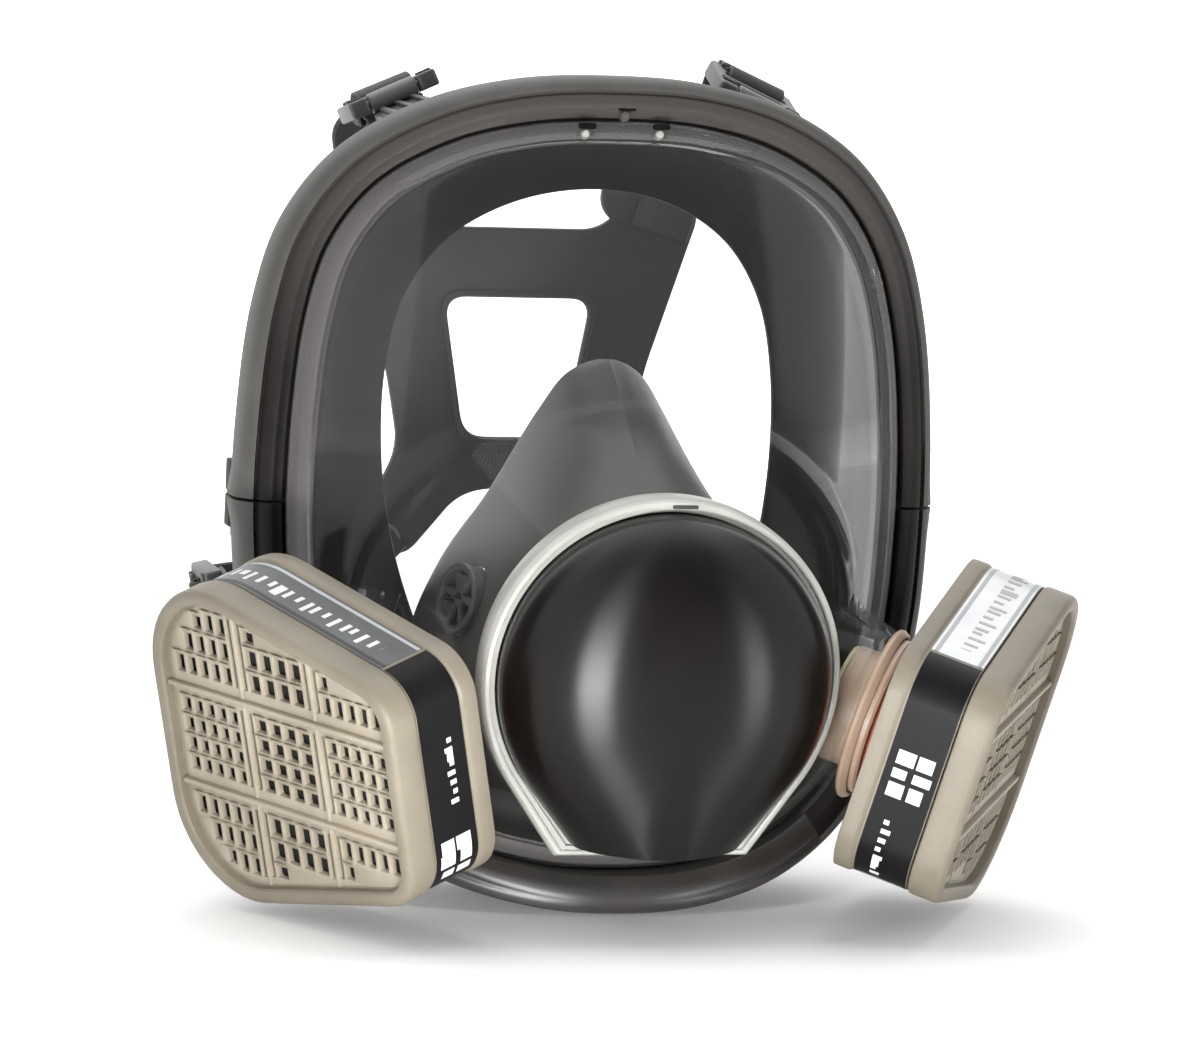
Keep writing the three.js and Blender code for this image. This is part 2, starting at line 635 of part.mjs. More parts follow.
const noseRing = (share, thin) =>
  Array.from({ length: NOSE_STEPS }, (_, i) => nosePoint(i / NOSE_STEPS, share, thin));
const noseShell = solid(skin([
  ...NOSE_SHARES.map((s) => noseRing(s, 0)),
  ...[...NOSE_SHARES].reverse().map((s) => noseRing(s, NOSE_THICKNESS)),
], true));
const collarBore = NECK_RADIUS + GAP;
const collar = moved(
  tube(collarBore, collarBore + NOSE_THICKNESS, COLLAR_FRONT - 4.5, COLLAR_FRONT, NOSE_STEPS),
  unitMatrix,
);
const collarRoom = moved(disc(collarBore, COLLAR_FRONT - 4.2, COLLAR_FRONT + 2, NOSE_STEPS), unitMatrix);

// Check valves in its cheeks let air in from behind the lens.
const CHEEK = new THREE.Vector3(39.5, -38, 76);
const CHEEK_OUT = new THREE.Vector3(0.93, -0.3, 0.2).normalize();
const CHEEK_HOLE = 8.8;

function cheekMatrix(side) {
  const out = new THREE.Vector3(side * CHEEK_OUT.x, CHEEK_OUT.y, CHEEK_OUT.z);
  const along = new THREE.Vector3(0, 1, 0).addScaledVector(out, -out.y).normalize();
  return frameMatrix(new THREE.Vector3(side * CHEEK.x, CHEEK.y, CHEEK.z), along, out);
}

let noseCup = noseShell.add(collar).subtract(collarRoom);
for (const [name, side] of SIDES) {
  const matrix = cheekMatrix(side);
  noseCup = noseCup.subtract(moved(disc(CHEEK_HOLE, -8, 8, 24), matrix));
  const cheek = placed(matrix);
  const radius = CHEEK_HOLE - GAP;
  const spoke = block(1.6, radius - 1, 1.6, 0, radius / 2, 0.4);
  add(`${name}_nose_valve_seat`, tube(radius - 1.6, radius, -2.6, 2.6, 24)
    .add(disc(1.8, -0.4, 1.2, 12)).add(threeAround(spoke)), 'nose', cheek);
  add(`${name}_nose_valve_flap`, disc(radius - 0.4, -4, -2.9, 24), 'valve', cheek);
}
add('nose_cup', noseCup, 'nose');

// ---------------------------------------------------------------------------------------------------------
// Bayonet ports and cartridges
// ---------------------------------------------------------------------------------------------------------

function sector(inner, outer, angle, low, high) {
  const shape = new THREE.Shape();
  shape.absarc(0, 0, outer, -angle / 2, angle / 2, false);
  shape.absarc(0, 0, inner, angle / 2, -angle / 2, true);
  return slab(shape, low, high, 2);
}

function portBody() {
  const barrel = tube(PORT_BORE, PORT_RADIUS, PORT_END, 5, 24);
  const flange = tube(PORT_BORE, FLANGE_RADIUS, BOSS_FACE + GAP, -4.3, 24);
  const lugs = threeAround(sector(PORT_RADIUS - 1, LUG_RADIUS, LUG_ANGLE, BACK_WALL + 0.4, 4.8));
  const spokes = threeAround(block(1.6, PORT_BORE, 1.6, 0, PORT_BORE / 2, PORT_END + 1.6));
  return joined([barrel, flange, lugs, spokes, disc(2.4, PORT_END + 0.8, PORT_END + 2.4, 12)]);
}

function bodyShell() {
  const room = cartridgeSlab(2 * BODY_WALL, BACK_WALL, BODY_TOP + 1);
  const walls = cartridgeSlab(BODY_WALL, 0, BODY_TOP)
    .add(cartridgeSlab(BODY_INSET, 0, LID_START - GAP)).subtract(room);
  const bore = disc(LUG_RADIUS + GAP, -1, BACK_WALL + 1, 24);
  const tabs = threeAround(sector(PORT_RADIUS + 2 * GAP, LUG_RADIUS + 1, TAB_ANGLE, 0, BACK_WALL));
  return walls.subtract(bore).add(tabs);
}

// Lid: rim round the outside, plate with three rows of three windows set back behind it.
function lidShell() {
  const cup = cartridgeSlab(0, LID_START, CART_DEPTH)
    .subtract(cartridgeSlab(LID_WALL, LID_START - 1, GRILLE_FRONT - GRILLE_THICKNESS))
    .subtract(cartridgeSlab(4, GRILLE_FRONT, CART_DEPTH + 1));
  const field = cartridgeSlab(6.5, GRILLE_FRONT - GRILLE_THICKNESS - 1, GRILLE_FRONT + 1);
  const bars = [];
  for (const at of [-1, 1]) {
    bars.push(block(3, 120, 10, at * 13, 0, GRILLE_FRONT));
    bars.push(block(120, 3, 10, 0, at * 13, GRILLE_FRONT));
  }
  return cup.subtract(field.subtract(joined(bars)));
}

const CAVITY = 2 * BODY_WALL + GAP;
const BED_TOP = 17.5;
const BED_RECESS = 8;

for (const [name, side] of SIDES) {
  const holder = placed(cartridgeMatrix(side));
  add(`${name}_bayonet_port`, portBody(), 'adapter', holder);
  add(`${name}_port_gasket`, tube(PORT_RADIUS + GAP, FLANGE_RADIUS - 0.6, -4, -GAP, 24), 'gasket', holder);
  const flap = disc(PORT_RADIUS - 0.5, PORT_END - 1.3, PORT_END - GAP, 20);
  add(`${name}_inhalation_flap`, flap, 'valve', holder);
  add(`${name}_cartridge_body`, bodyShell(), 'cartridge', holder);
  add(`${name}_cartridge_lid`, lidShell(), 'cartridge', holder);
  const bed = cartridgeSlab(CAVITY, BACK_WALL + GAP, BED_TOP)
    .subtract(disc(LUG_RADIUS + 3, 0, BED_RECESS, 24));
  add(`${name}_carbon_bed`, bed, 'carbon', holder);
  const pad = cartridgeSlab(CAVITY, BED_TOP + GAP, GRILLE_FRONT - GRILLE_THICKNESS - GAP);
  add(`${name}_filter_pad`, pad, 'felt', holder);
}

// ---------------------------------------------------------------------------------------------------------
// Buckles: each swings on a pin in a lug that stands on the frame's back, over the seal's skirt
// ---------------------------------------------------------------------------------------------------------

const LUG_WIDTH = 13;
const LUG_STANDOFF = 0.2; // the pin lies this far outside the frame's outline
const LUG_DEPTH = 40; // and this far behind the wrap surface
const EYE_RADIUS = 2.6;
const FOOT_LOW = -4.9;
const FOOT_HIGH = -2.3;
const acrossPin = new THREE.Matrix4().makeRotationY(Math.PI / 2);
const pinHole = moved(disc(PIN_RADIUS + GAP, -20, 20, 10), acrossPin);
const pinBody = moved(disc(PIN_RADIUS, -BUCKLE_WIDTH / 2, BUCKLE_WIDTH / 2, 10), acrossPin);

// Frame of a lug and its pin: x along the pin, y back, z out from the skirt.
function lugMatrix(share, side) {
  const u = side > 0 ? share : -share;
  const t = frameEdge.getTangentAt(around(u));
  const out = new THREE.Vector3(-t.z, 0, t.x);
  const along = new THREE.Vector3().crossVectors(new THREE.Vector3(0, 1, 0), out).normalize();
  return frameMatrix(framePoint(u, LUG_STANDOFF, LUG_DEPTH), along, out);
}

// The buckle stands at its own angle about the pin.
const buckleMatrix = (share, side, tilt) =>
  lugMatrix(share, side).multiply(new THREE.Matrix4().makeRotationX(THREE.MathUtils.degToRad(tilt)));

function buckleBody() {
  const shape = new THREE.Shape();
  const half = BUCKLE_WIDTH / 2;
  const notch = LUG_WIDTH / 2 + 0.5;
  shape.moveTo(notch, -3);
  shape.lineTo(half, -3);
  shape.lineTo(half, BUCKLE_LENGTH - 5);
  shape.lineTo(half - 2, BUCKLE_LENGTH - 3);
  shape.lineTo(-half + 2, BUCKLE_LENGTH - 3);
  shape.lineTo(-half, BUCKLE_LENGTH - 5);
  shape.lineTo(-half, -3);
  shape.lineTo(-notch, -3);
  shape.lineTo(-notch, 4.5);
  shape.lineTo(notch, 4.5);
  const plate = slab(shape, -BUCKLE_THICKNESS / 2, BUCKLE_THICKNESS / 2);
  const slots = [8.8, 14.2].map((y) => block(STRAP_WIDTH + 1.5, 3, 10, 0, y, 0));
  return plate.subtract(joined(slots)).subtract(pinHole);
}

// The lug's foot runs forward to the back of the frame, whose depth changes along the outline.
function buckleLug(share, side) {
  const inward = lugMatrix(share, side).invert();
  const half = LUG_WIDTH / 2;
  const reach = half / frameEdge.getLength();
  const ends = [-reach, reach].map((step) =>
    framePoint(side * share + step, LUG_STANDOFF + FOOT_HIGH, FRAME_DEPTH + 3 * GAP).applyMatrix4(inward));
  ends.sort((a, b) => a.x - b.x);
  const shape = new THREE.Shape();
  shape.moveTo(-half, 0);
  shape.lineTo(-half, ends[0].y);
  shape.lineTo(half, ends[1].y);
  shape.lineTo(half, 0);
  const foot = slab(shape, FOOT_LOW, FOOT_HIGH);
  const eye = moved(disc(EYE_RADIUS, -half, half, 12), acrossPin);
  const web = block(LUG_WIDTH, 4, 4, 0, -1.6, -2.4);
  return joined([eye, foot, web]).subtract(pinHole);
}

const UPPER_BUCKLE = outlineShare(195.2);
const LOWER_BUCKLE = outlineShare(62);
const REST_TILT = { upper_left: -8, upper_right: 14, lower_left: 0, lower_right: 0 }; // degrees, + stands out
for (const [level, share] of [['upper', UPPER_BUCKLE], ['lower', LOWER_BUCKLE]]) {
  for (const [name, side] of SIDES) {
    add(`${level}_${name}_buckle_lug`, buckleLug(share, side), 'buckle', placed(lugMatrix(share, side)));
    const holder = placed(buckleMatrix(share, side, REST_TILT[`${level}_${name}`]));
    add(`${level}_${name}_buckle`, buckleBody(), 'buckle', holder);
    add(`${level}_${name}_buckle_pin`, pinBody, 'steel', holder);
  }
}

// ---------------------------------------------------------------------------------------------------------
// Head harness: a rubber cradle behind the head and four straps to the buckles
// ---------------------------------------------------------------------------------------------------------

function roundedShape(points, round) {
  const shape = new THREE.Shape();
  const count = points.length;
  points.forEach(([x, y], i) => {
    const here = new THREE.Vector2(x, y);
    const before = new THREE.Vector2(...points[(i + count - 1) % count]);
    const after = new THREE.Vector2(...points[(i + 1) % count]);
    const reach = Math.min(round, here.distanceTo(before) / 2, here.distanceTo(after) / 2);
    const start = before.sub(here).setLength(reach).add(here);
    const end = after.sub(here).setLength(reach).add(here);
    if (i === 0) shape.moveTo(start.x, start.y);
    else shape.lineTo(start.x, start.y);
    shape.quadraticCurveTo(x, y, end.x, end.y);
  });
  shape.closePath();
  return shape;
}

const mirrored = (half) => [...half, ...[...half].reverse().map(([x, y]) => [-x, y])];
const CRADLE = mirrored([
  [0.5, 158.5], [22, 158.5], [33, 172], [49, 165], [42, 143],
  [35, 121], [31, 100], [42, 77], [29, 70], [14, 88], [0.5, 90],
]);
const WINDOW = mirrored([[20, 140], [13.5, 103]]);
const cradle = slab(roundedShape(CRADLE, 6), -STRAP_THICKNESS / 2, STRAP_THICKNESS / 2, 3)
  .subtract(slab(roundedShape(WINDOW, 6), -5, 5, 4));
const cradleHolder = placed(new THREE.Matrix4().makeRotationX(Math.PI / 2).setPosition(0, CRADLE_DEPTH, 0));
add('harness_cradle', cradle, 'harness', cradleHolder);

// A flat strap along a curve; `across` is the direction of its width.
function ribbon(points, across, width) {
  const curve = new THREE.CatmullRomCurve3(points);
  const steps = 14;
  const rings = [];
  for (let i = 0; i <= steps; i += 1) {
    const p = curve.getPointAt(i / steps);
    const t = curve.getTangentAt(i / steps);
    const mix = i / steps;
    const side = across[0].clone().lerp(across[1], mix);
    side.addScaledVector(t, -side.dot(t)).normalize();
    const face = new THREE.Vector3().crossVectors(t, side);
    const half = width / 2;
    rings.push([[-half, -1], [half, -1], [half, 1], [-half, 1]].map(([a, b]) =>
      p.clone().addScaledVector(side, a).addScaledVector(face, (b * STRAP_THICKNESS) / 2)));
  }
  return solid(skin(rings, false, [[0, 1, 2], [0, 2, 3]]));
}

const STRAP_START = BUCKLE_LENGTH + 2;
const STRAP_END = CRADLE_DEPTH - 3.4; // the straps' ends lie in front of the cradle's arms
// Each strap's buckle, the bend behind it and two places on the cradle's arm, and its width's direction.
const STRAPS = [
  ['upper', UPPER_BUCKLE, [[47.5, CRADLE_DEPTH - 16, 186], [41.6, STRAP_END, 171], [37.2, STRAP_END, 158]],
    [-0.93, 0, 0.36]],
  ['lower', LOWER_BUCKLE, [[56, CRADLE_DEPTH - 9, 66], [41.5, STRAP_END, 72.4], [33.5, STRAP_END, 79.5]],
    [0.35, 0, 0.93]],
];
for (const [level, share, course, width] of STRAPS) {
  for (const [name, side] of SIDES) {
    const matrix = buckleMatrix(share, side, REST_TILT[`${level}_${name}`]);
    const start = new THREE.Vector3(0, STRAP_START, 0).applyMatrix4(matrix);
    const lead = new THREE.Vector3(0, STRAP_START + 8, 0).applyMatrix4(matrix);
    const along = new THREE.Vector3().setFromMatrixColumn(matrix, 0);
    const across = new THREE.Vector3(side * width[0], width[1], width[2]);
    if (along.dot(across) < 0) across.negate();
    const points = [start, lead, ...course.map(([x, y, z]) => new THREE.Vector3(side * x, y, z))];
    add(`${level}_${name}_strap`, ribbon(points, [along, across], STRAP_WIDTH), 'harness');
  }
}

export default group;
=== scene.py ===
import math

import bmesh
import bpy
import numpy as np
from mathutils import Matrix, Vector


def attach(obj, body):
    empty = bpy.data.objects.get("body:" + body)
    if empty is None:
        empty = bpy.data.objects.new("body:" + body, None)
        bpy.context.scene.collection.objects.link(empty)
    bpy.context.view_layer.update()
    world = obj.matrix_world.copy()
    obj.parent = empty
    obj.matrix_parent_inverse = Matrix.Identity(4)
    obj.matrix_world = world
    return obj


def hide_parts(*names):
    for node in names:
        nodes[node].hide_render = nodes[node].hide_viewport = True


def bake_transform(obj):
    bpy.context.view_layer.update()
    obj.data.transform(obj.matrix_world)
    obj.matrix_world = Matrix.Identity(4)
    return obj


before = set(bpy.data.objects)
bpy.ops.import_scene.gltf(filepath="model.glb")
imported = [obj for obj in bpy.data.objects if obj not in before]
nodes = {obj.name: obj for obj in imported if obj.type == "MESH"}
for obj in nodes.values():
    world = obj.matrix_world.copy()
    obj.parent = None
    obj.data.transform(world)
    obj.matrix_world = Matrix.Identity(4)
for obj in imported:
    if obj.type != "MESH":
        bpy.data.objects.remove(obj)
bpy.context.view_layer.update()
scene = bpy.context.scene

# Lengths are millimetres in the CAD's frame; meshes are scaled to metres when they are made.
MM = 0.001
WRAP_RADIUS = 146  # of the lens and frame in plan
WRAP_FRONT = 36  # how far the wrap surface's front lies ahead of its depth origin
MIDDLE_HEIGHT = 100  # where the wrap surface stands upright
BROW_LEAN, CHIN_LEAN = 16, -9  # its lean back at the brow and forward at the chin
DEPTH_SHIFT = 14.9  # the wrap surface's own depth origin lies this far behind the object's middle
SIDES = (("left", -1), ("right", 1))


# ---------------------------------------- outlines
def spline_span(a, b, c, d, dense):
    """The centripetal spline from b towards c, given the points either side, as short chords."""
    s = (np.arange(dense) / dense)[:, None]
    ab, bc, cd = (max(np.linalg.norm(v), 1e-6) ** 0.5 for v in (b - a, c - b, d - c))
    start = ((b - a) / ab - (c - a) / (ab + bc) + (c - b) / bc) * bc
    end = ((c - b) / bc - (d - b) / (bc + cd) + (d - c) / cd) * bc
    return (
        (2 * s**3 - 3 * s**2 + 1) * b + (s**3 - 2 * s**2 + s) * start
        + (3 * s**2 - 2 * s**3) * c + (s**3 - s**2) * end
    )


def closed_spline(points, dense=48):
    p = np.array(points, float)
    count = len(p)
    return np.vstack([
        spline_span(*(p[(i + k) % count] for k in (-1, 0, 1, 2)), dense) for i in range(count)
    ])


class Outline:
    """A symmetric outline in x and z, given by its right half from the top to the chin."""

    def __init__(self, half):
        left = [(-x, z) for x, z in reversed(half[1:-1])]
        ring = closed_spline(list(half) + left)
        self.points = np.vstack([ring, ring[:1]])
        steps = np.linalg.norm(np.diff(self.points, axis=0), axis=1)
        self.reach = np.concatenate([[0], np.cumsum(steps)])
        self.length = self.reach[-1]

    def at(self, u):
        want = (np.asarray(u, float) % 1) * self.length
        return np.stack([np.interp(want, self.reach, self.points[:, k]) for k in (0, 1)], -1)

    def along(self, u):
        step = 0.0006
        d = self.at(np.asarray(u) + step) - self.at(np.asarray(u) - step)
        return d / np.linalg.norm(d, axis=-1, keepdims=True)

    def share(self, height):
        low, high = 0.0, 0.5
        for _ in range(40):
            middle = (low + high) / 2
            if self.at(middle)[1] > height:
                low = middle
            else:
                high = middle
        return low


FRAME_EDGE = Outline([
    (0, 203.5), (24, 202), (46, 196), (66.5, 183.5), (79.5, 166), (86, 145), (89.3, 115), (89.5, 88),
    (87, 65), (79.5, 42), (65, 21), (45, 7.6), (22, 1), (0, -0.5),
])
OPENING_EDGE = Outline([
    (0, 174.5), (20, 171), (36.5, 161), (46.5, 146), (50.5, 128), (51, 108), (49, 90), (45, 73), (38, 55),
    (28, 40), (14, 31), (0, 29),
])
NOSE_EDGE = Outline([
    (0, 133), (9, 129.5), (16, 120), (28, 99), (39, 82), (46, 63), (44, 45), (34, 30), (17, 23), (0, 22),
])


def wrap_depth(x, z):
    rise = (z - MIDDLE_HEIGHT) / 100
    lean = np.where(rise > 0, BROW_LEAN * rise**2, CHIN_LEAN * rise**2)
    sweep = WRAP_RADIUS - np.sqrt(WRAP_RADIUS**2 - np.minimum(np.abs(x), WRAP_RADIUS - 1.0) ** 2)
    return DEPTH_SHIFT - WRAP_FRONT + lean + sweep


def frame_point(u, out, depth):
    """Points on the frame's outline, moved out and laid behind the wrap surface."""
    p = FRAME_EDGE.at(u)
    t = FRAME_EDGE.along(u)
    x = p[..., 0] - t[..., 1] * out
    z = p[..., 1] + t[..., 0] * out
    return np.stack([x, wrap_depth(x, z) + depth, z], -1)


CHIN_REACH = 0.19  # share of the outline's length on each side of the chin


def chin_share(u):
    """How much of the chin lip there is at each share: 1 at the chin, 0 beyond its reach."""
    near = np.maximum(0, 1 - np.abs((np.asarray(u) % 1) - 0.5) / CHIN_REACH)
    return near**2 * (3 - 2 * near)


# ---------------------------------------- meshes
def shade(data, angle=35):
    data.shade_smooth()
    data.set_sharp_from_angle(angle=math.radians(angle))


def tidy(data, merge=True):
    work = bmesh.new()
    work.from_mesh(data)
    if merge:
        bmesh.ops.remove_doubles(work, verts=work.verts, dist=2e-6)
    bmesh.ops.recalc_face_normals(work, faces=work.faces)
    work.to_mesh(data)
    work.free()


def in_scene(name, data):
    obj = bpy.data.objects.new(name, data)
    scene.collection.objects.link(obj)
    return obj


def new_object(name, data, materials, angle=35):
    tidy(data)
    shade(data, angle)
    for item in materials if isinstance(materials, (list, tuple)) else [materials]:
        data.materials.append(item)
    return in_scene(name, data)


def from_points(name, verts, faces, materials, angle=35, matrix=None):
    data = bpy.data.meshes.new(name)
    verts = np.asarray(verts, float).reshape(-1, 3)
    if matrix is not None:
        turn = np.array(matrix)
        verts = verts @ turn[:3, :3].T + turn[:3, 3]
    data.from_pydata((verts * MM).tolist(), [], faces)
    return new_object(name, data, materials, angle)


def ring_faces(rows, cols, endless=False, caps=False):
    """Faces over rows of points: rows follow the length, columns go round the section."""
    faces = []
    for i in range(rows if endless else rows - 1):
        j = (i + 1) % rows
        for k in range(cols):
            n = (k + 1) % cols
            faces.append((i * cols + k, i * cols + n, j * cols + n, j * cols + k))
    if caps:
        faces.append(tuple(range(cols)))
        faces.append(tuple(range((rows - 1) * cols, rows * cols)))
    return faces


def skin(name, rings, materials, endless=False, caps=False, angle=35, matrix=None):
    """A skin over rings of points."""
    rings = np.asarray(rings, float)
    return from_points(name, rings, ring_faces(*rings.shape[:2], endless, caps), materials, angle, matrix)


def lathe(name, profile, materials, matrix, steps=96, angle=35):
    """A closed profile of (radius, height) turned about local z."""
    profile = np.array(profile, float)
    turn = np.arange(steps) * 2 * math.pi / steps
    rings = np.stack([
        np.cos(turn)[:, None] * profile[:, 0], np.sin(turn)[:, None] * profile[:, 0],
        np.broadcast_to(profile[:, 1], (steps, len(profile))),
    ], -1)
    return skin(name, rings, materials, endless=True, angle=angle, matrix=matrix)


def plate(name, loops, low, high, materials, matrix, bevel=0.4, resolution=2, angle=35):
    """A flat plate with holes and rounded edges; the first loop is the outside."""
    curve = bpy.data.curves.new(name, "CURVE")
    curve.dimensions = "2D"
    curve.fill_mode = "BOTH"
    curve.extrude = max((high - low) / 2 - bevel, 0) * MM
    curve.bevel_depth = bevel * MM
    curve.bevel_resolution = resolution
    curve.offset = -bevel * MM
    for loop in loops:
        spline = curve.splines.new("POLY")
        spline.points.add(len(loop) - 1)
        for point, (x, y) in zip(spline.points, loop):
            point.co = (x * MM, y * MM, 0, 1)
        spline.use_cyclic_u = True
    holder = in_scene(name + "_outline", curve)
    graph = bpy.context.evaluated_depsgraph_get()
    data = bpy.data.meshes.new_from_object(holder.evaluated_get(graph))
    bpy.data.objects.remove(holder)
    data.name = name
    data.materials.clear()
    lift = Matrix.Translation((0, 0, (low + high) / 2 * MM))
    data.transform(metres(matrix) @ lift)
    return new_object(name, data, materials, angle)


def metres(matrix):
    """The same placement with its origin in metres."""
    scaled = Matrix(matrix)
    scaled.translation = scaled.translation * MM
    return scaled


def rounded(points, radius, steps=5):
    """A polygon with its corners rounded."""
    points = [Vector(p) for p in points]
    loop = []
    for i, here in enumerate(points):
        before = points[i - 1]
        after = points[(i + 1) % len(points)]
        reach = min(radius, (before - here).length / 2.02, (after - here).length / 2.02)
        start = here + (before - here).normalized() * reach
        end = here + (after - here).normalized() * reach
        for k in range(steps + 1):
            s = k / steps
            loop.append(tuple(start * (1 - s) ** 2 + here * 2 * s * (1 - s) + end * s * s))
    return loop


def rectangle(x0, y0, x1, y1, radius=0.4, steps=3):
    return rounded([(x0, y0), (x1, y0), (x1, y1), (x0, y1)], radius, steps)


def circle(radius, steps=64, x=0, y=0):
    return [
        (x + radius * math.cos(2 * math.pi * i / steps), y + radius * math.sin(2 * math.pi * i / steps))
        for i in range(steps)
    ]


def arc_band(turn, outer, inner, half, steps):
    """A piece of a ring, as wide on each side of the turn as half says in degrees."""
    loop = []
    for radius, reach in ((outer, half), (inner, -half)):
        angles = turn + np.radians(np.linspace(-reach, reach, steps))
        loop += [(radius * math.cos(a), radius * math.sin(a)) for a in angles]
    return loop


def placement(origin, x, z):
    x = Vector(x).normalized()
    z = Vector(z).normalized()
    y = z.cross(x)
    m = Matrix((x, y, z)).transposed().to_4x4()
    m.translation = Vector(origin)
    return m


def cut(obj, *cutters):
    """Cuts the cutters' shapes out of the piece, for good."""
    for cutter in cutters:
        step = obj.modifiers.new("cut", "BOOLEAN")
        step.object = cutter
        step.operation = "DIFFERENCE"
        step.solver = "EXACT"
    graph = bpy.context.evaluated_depsgraph_get()
    data = bpy.data.meshes.new_from_object(obj.evaluated_get(graph))
    obj.modifiers.clear()
    obj.data = data
    shade(data)
    for cutter in cutters:
        bpy.data.objects.remove(cutter)
    return obj


def piece(obj, body, slot, *replaced):
    """The piece rides on its body and stands for these CAD nodes."""
    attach(obj, body)
    if replaced:
        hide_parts(*replaced)
    return obj


# ---------------------------------------- materials
def linear(code):
    values = [int(code[i:i + 2], 16) / 255 for i in (0, 2, 4)]
    return tuple(v / 12.92 if v <= 0.04045 else ((v + 0.055) / 1.055) ** 2.4 for v in values) + (1.0,)


def node(tree, kind, inputs=None, **settings):
    """A new shader node; an input given a socket is linked, and one given a value is set."""
    made = tree.nodes.new("ShaderNode" + kind)
    for name, value in settings.items():
        setattr(made, name, value)
    for name, value in (inputs or {}).items():
        if isinstance(value, bpy.types.NodeSocket):
            tree.links.new(value, made.inputs[name])
        else:
            made.inputs[name].default_value = value
    return made


def remap(tree, value, start=(0.0, 1.0), end=(0.0, 1.0)):
    """The value's range from start moved to end, and held there."""
    return node(tree, "MapRange", {
        "Value": value, "From Min": start[0], "From Max": start[1], "To Min": end[0], "To Max": end[1],
    }).outputs["Result"]


def colour_mix(tree, factor, a, b):
    return node(tree, "Mix", {"Factor": factor, "A": a, "B": b}, data_type="RGBA").outputs["Result"]


def new_material(name):
    material = bpy.data.materials.new(name)
    material.use_nodes = True
    tree = material.node_tree
    return material, tree, node(tree, "TexCoord").outputs["Object"]


# Towards the top a finish turns paler: a painted highlight from the light above.
TOP_HIGHLIGHT_FROM, TOP_HIGHLIGHT_FULL = 0.13, 0.19  # heights in metres between which a finish turns paler
# The tone of the painted highlight on edges.
EDGE_HIGHLIGHT_TONE = (0.6, 0.6, 0.58, 1)


def finish(name, dark, light, rough=(0.4, 0.55), grain=0.05, grain_scale=1400, mottle=45, metal=0.0,
           specular=0.5, edge_highlight=0.0, subsurface=0.0, stretch=0.0, high=None):
    """A procedural finish: two tones mixed by cloudy noise, uneven roughness and a fine grain.

    The lightened edges are a painted highlight, stretch draws highlights out upright, and high is a painted
    highlight tone near the top.
    """
    material, tree, place = new_material(name)
    shader = tree.nodes["Principled BSDF"]
    cloud = node(tree, "TexNoise", {
        "Scale": mottle, "Detail": 6, "Roughness": 0.62, "Vector": place,
    }).outputs["Fac"]
    colour = colour_mix(tree, remap(tree, cloud, (0.32, 0.68)), linear(dark), linear(light))
    # The paler top is a painted highlight.
    if high:
        height = node(tree, "SeparateXYZ", {"Vector": place}).outputs["Z"]
        colour = colour_mix(tree, remap(tree, height, (TOP_HIGHLIGHT_FROM, TOP_HIGHLIGHT_FULL)), colour, linear(high))
    # Lightened edges: a painted highlight.
    if edge_highlight:
        edge = node(tree, "NewGeometry").outputs["Pointiness"]
        colour = colour_mix(tree, remap(tree, edge, (0.51, 0.6), (0, edge_highlight)), colour, EDGE_HIGHLIGHT_TONE)
    fine = node(tree, "TexNoise", {"Scale": grain_scale, "Detail": 3, "Vector": place}).outputs["Fac"]
    bump = node(tree, "Bump", {"Strength": 0.6, "Distance": grain * MM, "Height": fine})
    links = {
        "Base Color": colour, "Roughness": remap(tree, cloud, end=rough), "Normal": bump.outputs["Normal"],
    }
    if stretch:
        links["Tangent"] = node(tree, "Tangent", direction_type="RADIAL", axis="Z").outputs["Tangent"]
        shader.inputs["Anisotropic"].default_value = stretch
        shader.inputs["Anisotropic Rotation"].default_value = 0.25
    for socket, source in links.items():
        tree.links.new(source, shader.inputs[socket])
    shader.inputs["Metallic"].default_value = metal
    shader.inputs["Specular IOR Level"].default_value = specular
    if subsurface:
        shader.inputs["Subsurface Weight"].default_value = subsurface
        shader.inputs["Subsurface Scale"].default_value = 0.004
    return material


SNOUT_CENTRE = (0, -0.045, 0.0626)  # metres; the mirror fades out near it


def clear_lens(name, thin, thick, cloud):
    """Clear polycarbonate: see-through with a haze and a mirror-like surface."""
    material, tree, place = new_material(name)
    tree.nodes.remove(tree.nodes["Principled BSDF"])
    smear = node(tree, "TexNoise", {"Scale": 28, "Detail": 5, "Vector": place}).outputs["Fac"]
    through = node(tree, "BsdfTransparent", {"Color": (0.955, 0.96, 0.955, 1)})
    haze = node(tree, "BsdfDiffuse", {"Color": cloud})
    gloss = node(tree, "BsdfGlossy", {
        "Color": (0.97, 0.98, 1, 1), "Roughness": remap(tree, smear, end=(0.03, 0.09)),
    })
    body = node(tree, "MixShader", {
        "Fac": remap(tree, smear, end=(thin, thick)), 1: through.outputs["BSDF"], 2: haze.outputs["BSDF"],
    })
    wide = node(tree, "VectorMath", {0: place, 1: (1.4, 1, 1)}, operation="MULTIPLY")
    away = node(tree, "VectorMath", {0: wide.outputs["Vector"], 1: SNOUT_CENTRE}, operation="DISTANCE")
    weak = node(tree, "Math", {
        0: node(tree, "Fresnel", {"IOR": 1.5}).outputs["Fac"],
        1: remap(tree, away.outputs["Value"], (0.078, 0.1), (0.01, 0.26)),
    }, operation="MULTIPLY")
    both = node(tree, "MixShader", {
        "Fac": weak.outputs["Value"], 1: body.outputs["Shader"], 2: gloss.outputs["BSDF"],
    })
    tree.links.new(both.outputs["Shader"], tree.nodes["Material Output"].inputs["Surface"])
    return material


